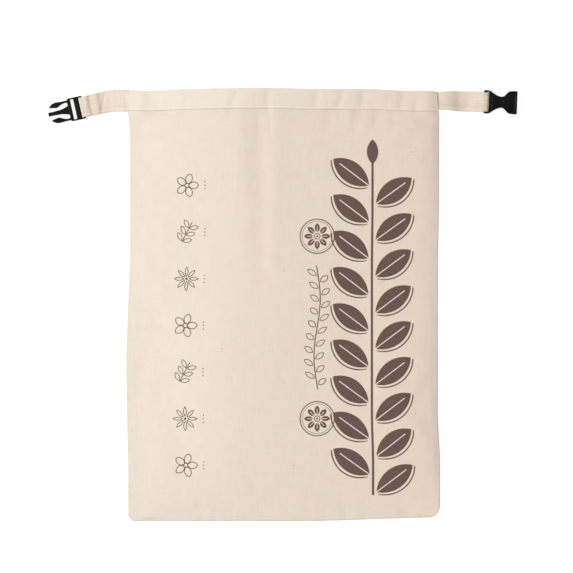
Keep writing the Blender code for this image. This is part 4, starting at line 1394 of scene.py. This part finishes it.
def shaped_by(target, steps):
    """Joins shapes to the target and cuts shapes from it, and removes them."""
    for other, operation in steps:
        step = target.modifiers.new(other.name, "BOOLEAN")
        step.operation = operation
        step.object = other
        step.solver = "EXACT"
    view = bpy.context.evaluated_depsgraph_get()
    mesh = bpy.data.meshes.new_from_object(target.evaluated_get(view))
    target.modifiers.clear()
    joints_closed(mesh)
    target.data = mesh
    for other, _ in steps:
        bpy.data.objects.remove(other, do_unlink=True)
    mesh.shade_smooth()
    mesh.set_sharp_from_angle(angle=SHARP_ANGLE)


def laid(target, x, y, angle):
    """Puts a buckle half where it lies, in its mesh."""
    turn = np.array([[math.cos(angle), -math.sin(angle)], [math.sin(angle), math.cos(angle)]])
    for vert in target.data.vertices:
        across = turn @ np.array(vert.co[:2])
        vert.co = (across[0] + x, across[1] + y, vert.co.z)


def box_outline(start, end, half_length, radius):
    """The outline of a rectangle with rounded corners, in mm."""
    start, end, half_length = start / MM, end / MM, half_length / MM
    return filleted(
        [
            (start, -half_length, radius),
            (end, -half_length, radius),
            (end, half_length, radius),
            (start, half_length, radius),
        ]
    )


def prong_half(finish):
    """The frame with its bars, the two sprung prongs and the guide between them."""
    holes = [
        box_outline(OUTER_BAR, OUTER_SLOT_END, SLOT_HALF_LENGTH, OUTER_SLOT_RADIUS),
        box_outline(RIBBED_BAR_END, INNER_SLOT_END, SLOT_HALF_LENGTH, INNER_SLOT_RADIUS),
    ]
    rim = box_outline(0, FRAME_LENGTH, FRAME_HALF_WIDTH, FRAME_RADIUS)
    made = flat_shape("prong_buckle", [rim, *holes], 0, FRAME_HEIGHT, RIM_ROUNDING, finish)
    outline = [filleted(mirrored(PRONG_OUTLINE))]
    prong_top = PRONG_LOW + PRONG_HEIGHT
    steps = [(flat_shape("prongs", outline, PRONG_LOW, prong_top, PRONG_ROUNDING, finish), "UNION")]
    reach = SLOT_HALF_LENGTH
    for name, start, end, low, high in (
        ("over_outer_bar", 0, OUTER_BAR, OUTER_BAR_HIGH, FRAME_HEIGHT + PAST),
        ("under_outer_bar", 0, OUTER_BAR, -PAST, OUTER_BAR_LOW),
        ("over_ribbed_bar", OUTER_SLOT_END, RIBBED_BAR_END, RIBBED_BAR_HIGH, FRAME_HEIGHT + PAST),
        ("under_ribbed_bar", OUTER_SLOT_END, RIBBED_BAR_END, -PAST, RIBBED_BAR_LOW),
    ):
        steps.append((block(name, (start - PAST, -reach, low), (end + PAST, reach, high)), "DIFFERENCE"))
    pitch = (RIBBED_BAR_END - OUTER_SLOT_END) / (RIB_COUNT + 1)
    for k in range(RIB_COUNT):
        middle = OUTER_SLOT_END + pitch * (k + 1)
        low = (middle - RIB_WIDTH / 2, -reach - RIB_SUNK, RIBBED_BAR_HIGH - RIB_SUNK)
        high = (middle + RIB_WIDTH / 2, reach + RIB_SUNK, RIBBED_BAR_HIGH + RIB_HEIGHT)
        steps.append((block(f"rib_{k + 1}", low, high, RIB_ROUNDING), "UNION"))
    shaped_by(made, steps)
    laid(made, PRONG_HALF_X, PRONG_HALF_Y, math.pi + LEFT_TURN)
    return made


def socket_half(finish):
    """The shell that the prongs snap into, with a sunk contour line on both faces."""
    outlines = [filleted(mirrored(SOCKET_OUTLINE)), filleted(mirrored(SOCKET_SLOT))]
    made = flat_shape("socket_buckle", outlines, 0, SOCKET_HEIGHT, RIM_ROUNDING, finish)
    middle, top, bar_end = SOCKET_HEIGHT / 2, SOCKET_HEIGHT + PAST, SOCKET_BAR_END + PAST
    cuts = []
    for name, start, end, reach, low, high in (
        ("cavity", CAVITY_START, SOCKET_LENGTH + PAST, CAVITY_WIDTH / 2, middle - CAVITY_HEIGHT / 2,
         middle + CAVITY_HEIGHT / 2),
        ("over_bar", -PAST, bar_end, SLOT_HALF_LENGTH, SOCKET_BAR_HIGH, top),
        ("under_bar", -PAST, bar_end, SLOT_HALF_LENGTH, -PAST, SOCKET_BAR_LOW),
    ):
        cuts.append(block(name, (start, -reach, low), (end, reach, high)))
    for name, shapes, depth, rounding in (
        ("recess", (SOCKET_RECESS,), RECESS_DEPTH, RECESS_ROUNDING),
        ("contour", (CONTOUR_OUTER, CONTOUR_INNER), CONTOUR_DEPTH, CONTOUR_ROUNDING),
    ):
        outlines = [filleted(mirrored(shape)) for shape in shapes]
        cuts.append(flat_shape(f"{name}_top", outlines, SOCKET_HEIGHT - depth, top, rounding, finish))
        cuts.append(flat_shape(f"{name}_base", outlines, -PAST, depth, rounding, finish))
    shaped_by(made, [(cut, "DIFFERENCE") for cut in cuts])
    laid(made, SOCKET_HALF_X, SOCKET_HALF_Y, RIGHT_TURN)
    return made


def dressed(piece, slot, *nodes):
    """Lets a piece ride on the bag and hides the solids that it stands for; its slot is not used."""
    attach(piece, BODY)
    if nodes:
        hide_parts(*nodes)


class BreadBagSizes(PropertyGroup):
    """Sizes that a user would change."""

    cloth: FloatProperty(name="Cloth", description="Thickness of one cloth", default=0.55 * MM,
                         min=0.2 * MM, max=1.0 * MM, subtype="DISTANCE", unit="LENGTH")
    hem: FloatProperty(name="Hem", description="Thickness of the turned hem", default=1.5 * MM,
                       min=0.6 * MM, max=1.8 * MM, subtype="DISTANCE", unit="LENGTH")
    strap: FloatProperty(name="Strap", description="Thickness of a strap", default=1.1 * MM,
                         min=0.6 * MM, max=1.2 * MM, subtype="DISTANCE", unit="LENGTH")
    thread: FloatProperty(name="Thread", description="Thickness of the sewing thread", default=0.4 * MM,
                          min=0.1 * MM, max=0.8 * MM, subtype="DISTANCE", unit="LENGTH")
    stitch: FloatProperty(name="Stitch", description="Length of one stitch", default=2.3 * MM,
                          min=1 * MM, max=6 * MM, subtype="DISTANCE", unit="LENGTH")
    stitch_gap: FloatProperty(name="Stitch gap", description="Gap between two stitches",
                              default=0.45 * MM, min=0.1 * MM, max=3 * MM, subtype="DISTANCE",
                              unit="LENGTH")
    weave: FloatProperty(name="Weave", description="From one thread of the weave to the next",
                         default=0.56 * MM, min=0.2 * MM, max=3 * MM, subtype="DISTANCE",
                         unit="LENGTH")


class BreadBagColours(PropertyGroup):
    """Colours that a user would change."""

    cotton: FloatVectorProperty(name="Cotton", description="The warm tone of the cotton",
                                default=(0.800, 0.668, 0.556), size=3, min=0, max=1, subtype="COLOR")
    cool: FloatVectorProperty(name="Cool cotton", description="The cooler tone of its patches",
                              default=(0.788, 0.708, 0.603), size=3, min=0, max=1, subtype="COLOR")
    strap: FloatVectorProperty(name="Strap", description="The straps' cotton",
                               default=(0.800, 0.680, 0.560), size=3, min=0, max=1, subtype="COLOR")
    # Painted shade: a darker copy of the strap cotton, against the light on the right strap's slope up to
    # the buckle
    right_strap: FloatVectorProperty(name="Right strap", description="The right strap's cotton",
                                     default=(0.716, 0.598, 0.490), size=3, min=0, max=1,
                                     subtype="COLOR")
    # Painted shade: the colour that creases, folds and the hem's lower edge are darkened towards
    crease_shade: FloatVectorProperty(name="Crease", description="The cotton in a crease",
                                default=(0.600, 0.425, 0.275), size=3, min=0, max=1, subtype="COLOR")
    thread: FloatVectorProperty(name="Thread", description="The sewing thread",
                                default=(0.90, 0.80, 0.68), size=3, min=0, max=1, subtype="COLOR")
    husk: FloatVectorProperty(name="Husk", description="Flecks of cotton husk",
                              default=(0.20, 0.13, 0.075), size=3, min=0, max=1, subtype="COLOR")
    olive: FloatVectorProperty(name="Olive", description="The stray green thread",
                               default=(0.46, 0.45, 0.22), size=3, min=0, max=1, subtype="COLOR")
    ink: FloatVectorProperty(name="Ink", description="The print's brown ink",
                             default=(0.101, 0.052, 0.042), size=3, min=0, max=1, subtype="COLOR")
    plastic: FloatVectorProperty(name="Plastic", description="The buckle",
                                 default=(0.0024, 0.0024, 0.0030), size=3, min=0, max=1, subtype="COLOR")
    rubbed: FloatVectorProperty(name="Rubbed plastic", description="Rubbed places on the buckle",
                                default=(0.015, 0.0145, 0.014), size=3, min=0, max=1, subtype="COLOR")
    floor: FloatVectorProperty(name="Floor", description="The plain floor",
                               default=(0.28, 0.28, 0.28), size=3, min=0, max=1, subtype="COLOR")


class BREADBAG_OT_front_cloth(Operator):
    """Make the front cloth with its hem, folds and print"""

    bl_idname = "bread_bag.front_cloth"
    bl_label = "Front cloth"

    def execute(self, context):
        sizes, colours = context.scene.bread_bag_sizes, context.scene.bread_bag_colours
        printed = cotton_finish("printed_cotton", sizes, colours, colours.cotton, with_print=True)
        plain = cotton_finish("plain_cotton", sizes, colours, colours.cotton)
        faces = cloth_faces(FRONT_CELL, front_top, sizes, 1)
        piece = closed_sheet("front_cloth", *faces, False, [printed, plain])
        dressed(piece, "cotton", "front_panel")
        return {"FINISHED"}


class BREADBAG_OT_back_cloth(Operator):
    """Make the back cloth with its hem"""

    bl_idname = "bread_bag.back_cloth"
    bl_label = "Back cloth"

    def execute(self, context):
        sizes, colours = context.scene.bread_bag_sizes, context.scene.bread_bag_colours
        plain = cotton_finish("back_cotton", sizes, colours, colours.cotton)
        faces = cloth_faces(BACK_CELL, back_under, sizes, -1)
        piece = closed_sheet("back_cloth", *faces, True, [plain])
        dressed(piece, "cotton", "back_panel")
        return {"FINISHED"}


class BREADBAG_OT_hem_stitches(Operator):
    """Sew the hems of both cloths"""

    bl_idname = "bread_bag.hem_stitches"
    bl_label = "Hem stitches"

    def execute(self, context):
        sizes, colours = context.scene.bread_bag_sizes, context.scene.bread_bag_colours
        finish = thread_finish(colours)

        def over_front(x, y, lift):
            return front_top(x, y) + lift

        def under_back(x, y, lift):
            return np.maximum(back_under(x, y) - lift, sizes.thread / 2)

        ends = HALF_WIDTH - HEM_STITCH_END
        for name, height, end, seed in (
            ("front_hem_stitches", over_front, ends, 1),
            ("back_hem_stitches", under_back, ends - BACK_STITCH_END, 2),
        ):
            def on_hem(along, aside, lift, height=height):
                x, y = np.array([along]), np.array([STITCH_Y + aside])
                return tuple(np.array([*outlined(x, y), height(x, y, lift)])[:, 0])

            paths = stitch_paths(on_hem, -end, end, sizes, seed)
            dressed(thread_piece(name, paths, sizes.thread, finish), "cotton")
        return {"FINISHED"}


class BREADBAG_OT_straps(Operator):
    """Make both straps and their stitches"""

    bl_idname = "bread_bag.straps"
    bl_label = "Straps"

    def execute(self, context):
        sizes, colours = context.scene.bread_bag_sizes, context.scene.bread_bag_colours
        thread = bpy.data.materials["sewing_thread"]
        # The right strap gets the darker copy of the strap cotton, which is painted shade
        for name, node, strip, rim, tint in (
            ("left_tape", "left_strap", left_strip(), edge_shade_of_left_strap, colours.strap),
            ("right_tape", "right_strap", right_strip(), edge_shade_of_strap, colours.right_strap),
        ):
            finish = cotton_finish(f"{name}_cotton", sizes, colours, tint, warmth_of_strap, rim, creased=1.0)
            piece = strap_piece(name, strip, sizes.strap, finish)
            dressed(piece, "tape", node)

            def on_strap(along, aside, lift, strip=strip):
                along = np.array([along])
                wide = strip.half_width(along)
                across = STRAP_STITCHES - wide + aside
                off = sizes.strap / 2 + strip.relief(along, across, wide) + lift
                return tuple(strip.place(along, across, off)[0])

            paths = stitch_paths(on_strap, 1 * MM, strip.slot_at + 2 * MM, sizes, 11)
            dressed(thread_piece(f"{name}_stitches", paths, sizes.thread, thread), "tape")
        return {"FINISHED"}


class BREADBAG_OT_buckle(Operator):
    """Make both halves of the buckle"""

    bl_idname = "bread_bag.buckle"
    bl_label = "Buckle"

    def execute(self, context):
        finish = plastic_finish(context.scene.bread_bag_colours)
        dressed(prong_half(finish), "black_plastic", "male_buckle")
        dressed(socket_half(finish), "black_plastic", "female_buckle")
        return {"FINISHED"}


class BREADBAG_OT_sheets(Operator):
    bl_idname = "bread_bag.sheets"
    bl_label = "Cut sizes"

    def execute(self, context):
        for name, strip, carried in (
            ("left_tape", left_strip(), "prong_buckle"),
            ("right_tape", right_strip(), "socket_buckle"),
        ):
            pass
        return {"FINISHED"}


class BREADBAG_OT_stage(Operator):
    """Set up the floor, the lights and the camera"""

    bl_idname = "bread_bag.stage"
    bl_label = "Stage"

    def execute(self, context):
        bm = bmesh.new()
        bmesh.ops.create_circle(bm, cap_ends=True, segments=64, radius=FLOOR_RADIUS)
        floor = piece_from(bm, "floor", [floor_finish(context.scene.bread_bag_colours)])
        floor.location.z = FLOOR_Z
        soft_sky()
        for light in LIGHTS:
            area_light(*light)
        overhead_camera(context.scene)
        context.scene.view_settings.view_transform = "Standard"
        return {"FINISHED"}


def soft_sky():
    """A pale studio all round, dimmer straight above, where the camera stands, and on the right."""
    world = bpy.data.worlds.new("studio")
    world.use_nodes = True
    bpy.context.scene.world = world
    graph = Graph(world.node_tree)
    direction = graph.node("ShaderNodeTexCoord").outputs["Generated"]
    parts = graph.node("ShaderNodeSeparateXYZ", None, {0: direction}).outputs
    right, up = Value(graph, parts[0]), Value(graph, parts[2])
    strength = SKY - SKY_ON_THE_RIGHT * right - SKY_ABOVE * most(up, 0.0)
    background = world.node_tree.nodes["Background"]
    graph.feed(background.inputs["Strength"], strength)
    background.inputs["Color"].default_value = (1.0, 1.0, 1.0, 1.0)


def area_light(name, place, size, power):
    """A square softbox that faces the bag."""
    lamp = bpy.data.lights.new(name, "AREA")
    lamp.size = size
    lamp.energy = power
    made = bpy.data.objects.new(name, lamp)
    made.location = place
    made.rotation_euler = (-Vector(place)).to_track_quat("-Z", "Y").to_euler()
    bpy.context.scene.collection.objects.link(made)


def overhead_camera(scene):
    """The camera, straight above, with the photograph's frame."""
    lens = bpy.data.cameras.new("overhead")
    lens.sensor_width = SENSOR
    lens.lens = SENSOR * CAMERA_HEIGHT / PICTURE_WIDTH
    lens.clip_end = 100
    made = bpy.data.objects.new("overhead", lens)
    made.location = (*CAMERA_AT, CAMERA_HEIGHT)
    scene.collection.objects.link(made)
    scene.camera = made


OPERATORS = (
    BREADBAG_OT_front_cloth,
    BREADBAG_OT_back_cloth,
    BREADBAG_OT_hem_stitches,
    BREADBAG_OT_straps,
    BREADBAG_OT_buckle,
    BREADBAG_OT_sheets,
    BREADBAG_OT_stage,
)


class BREADBAG_PT_panel(Panel):
    """The bag's pieces, sizes and colours"""

    bl_idname = "BREADBAG_PT_panel"
    bl_label = "Bread bag"
    bl_space_type = "VIEW_3D"
    bl_region_type = "UI"
    bl_category = "Bread bag"

    def draw(self, context):
        for operator in OPERATORS:
            self.layout.operator(operator.bl_idname)
        for group in (context.scene.bread_bag_sizes, context.scene.bread_bag_colours):
            for name in group.bl_rna.properties.keys():
                if name not in ("rna_type", "name"):
                    self.layout.prop(group, name)


CLASSES = (BreadBagSizes, BreadBagColours, *OPERATORS, BREADBAG_PT_panel)


def register():
    """Registers the classes and the scene's two property groups."""
    for each in CLASSES:
        bpy.utils.register_class(each)
    bpy.types.Scene.bread_bag_sizes = PointerProperty(type=BreadBagSizes)
    bpy.types.Scene.bread_bag_colours = PointerProperty(type=BreadBagColours)


def unregister():
    """Removes what register added."""
    del bpy.types.Scene.bread_bag_colours
    del bpy.types.Scene.bread_bag_sizes
    for each in reversed(CLASSES):
        bpy.utils.unregister_class(each)


def main():
    """Makes every piece in order."""
    register()
    bpy.ops.bread_bag.front_cloth()
    bpy.ops.bread_bag.back_cloth()
    bpy.ops.bread_bag.hem_stitches()
    bpy.ops.bread_bag.straps()
    bpy.ops.bread_bag.buckle()
    bpy.ops.bread_bag.sheets()
    bpy.ops.bread_bag.stage()


if __name__ == "__main__":
    main()
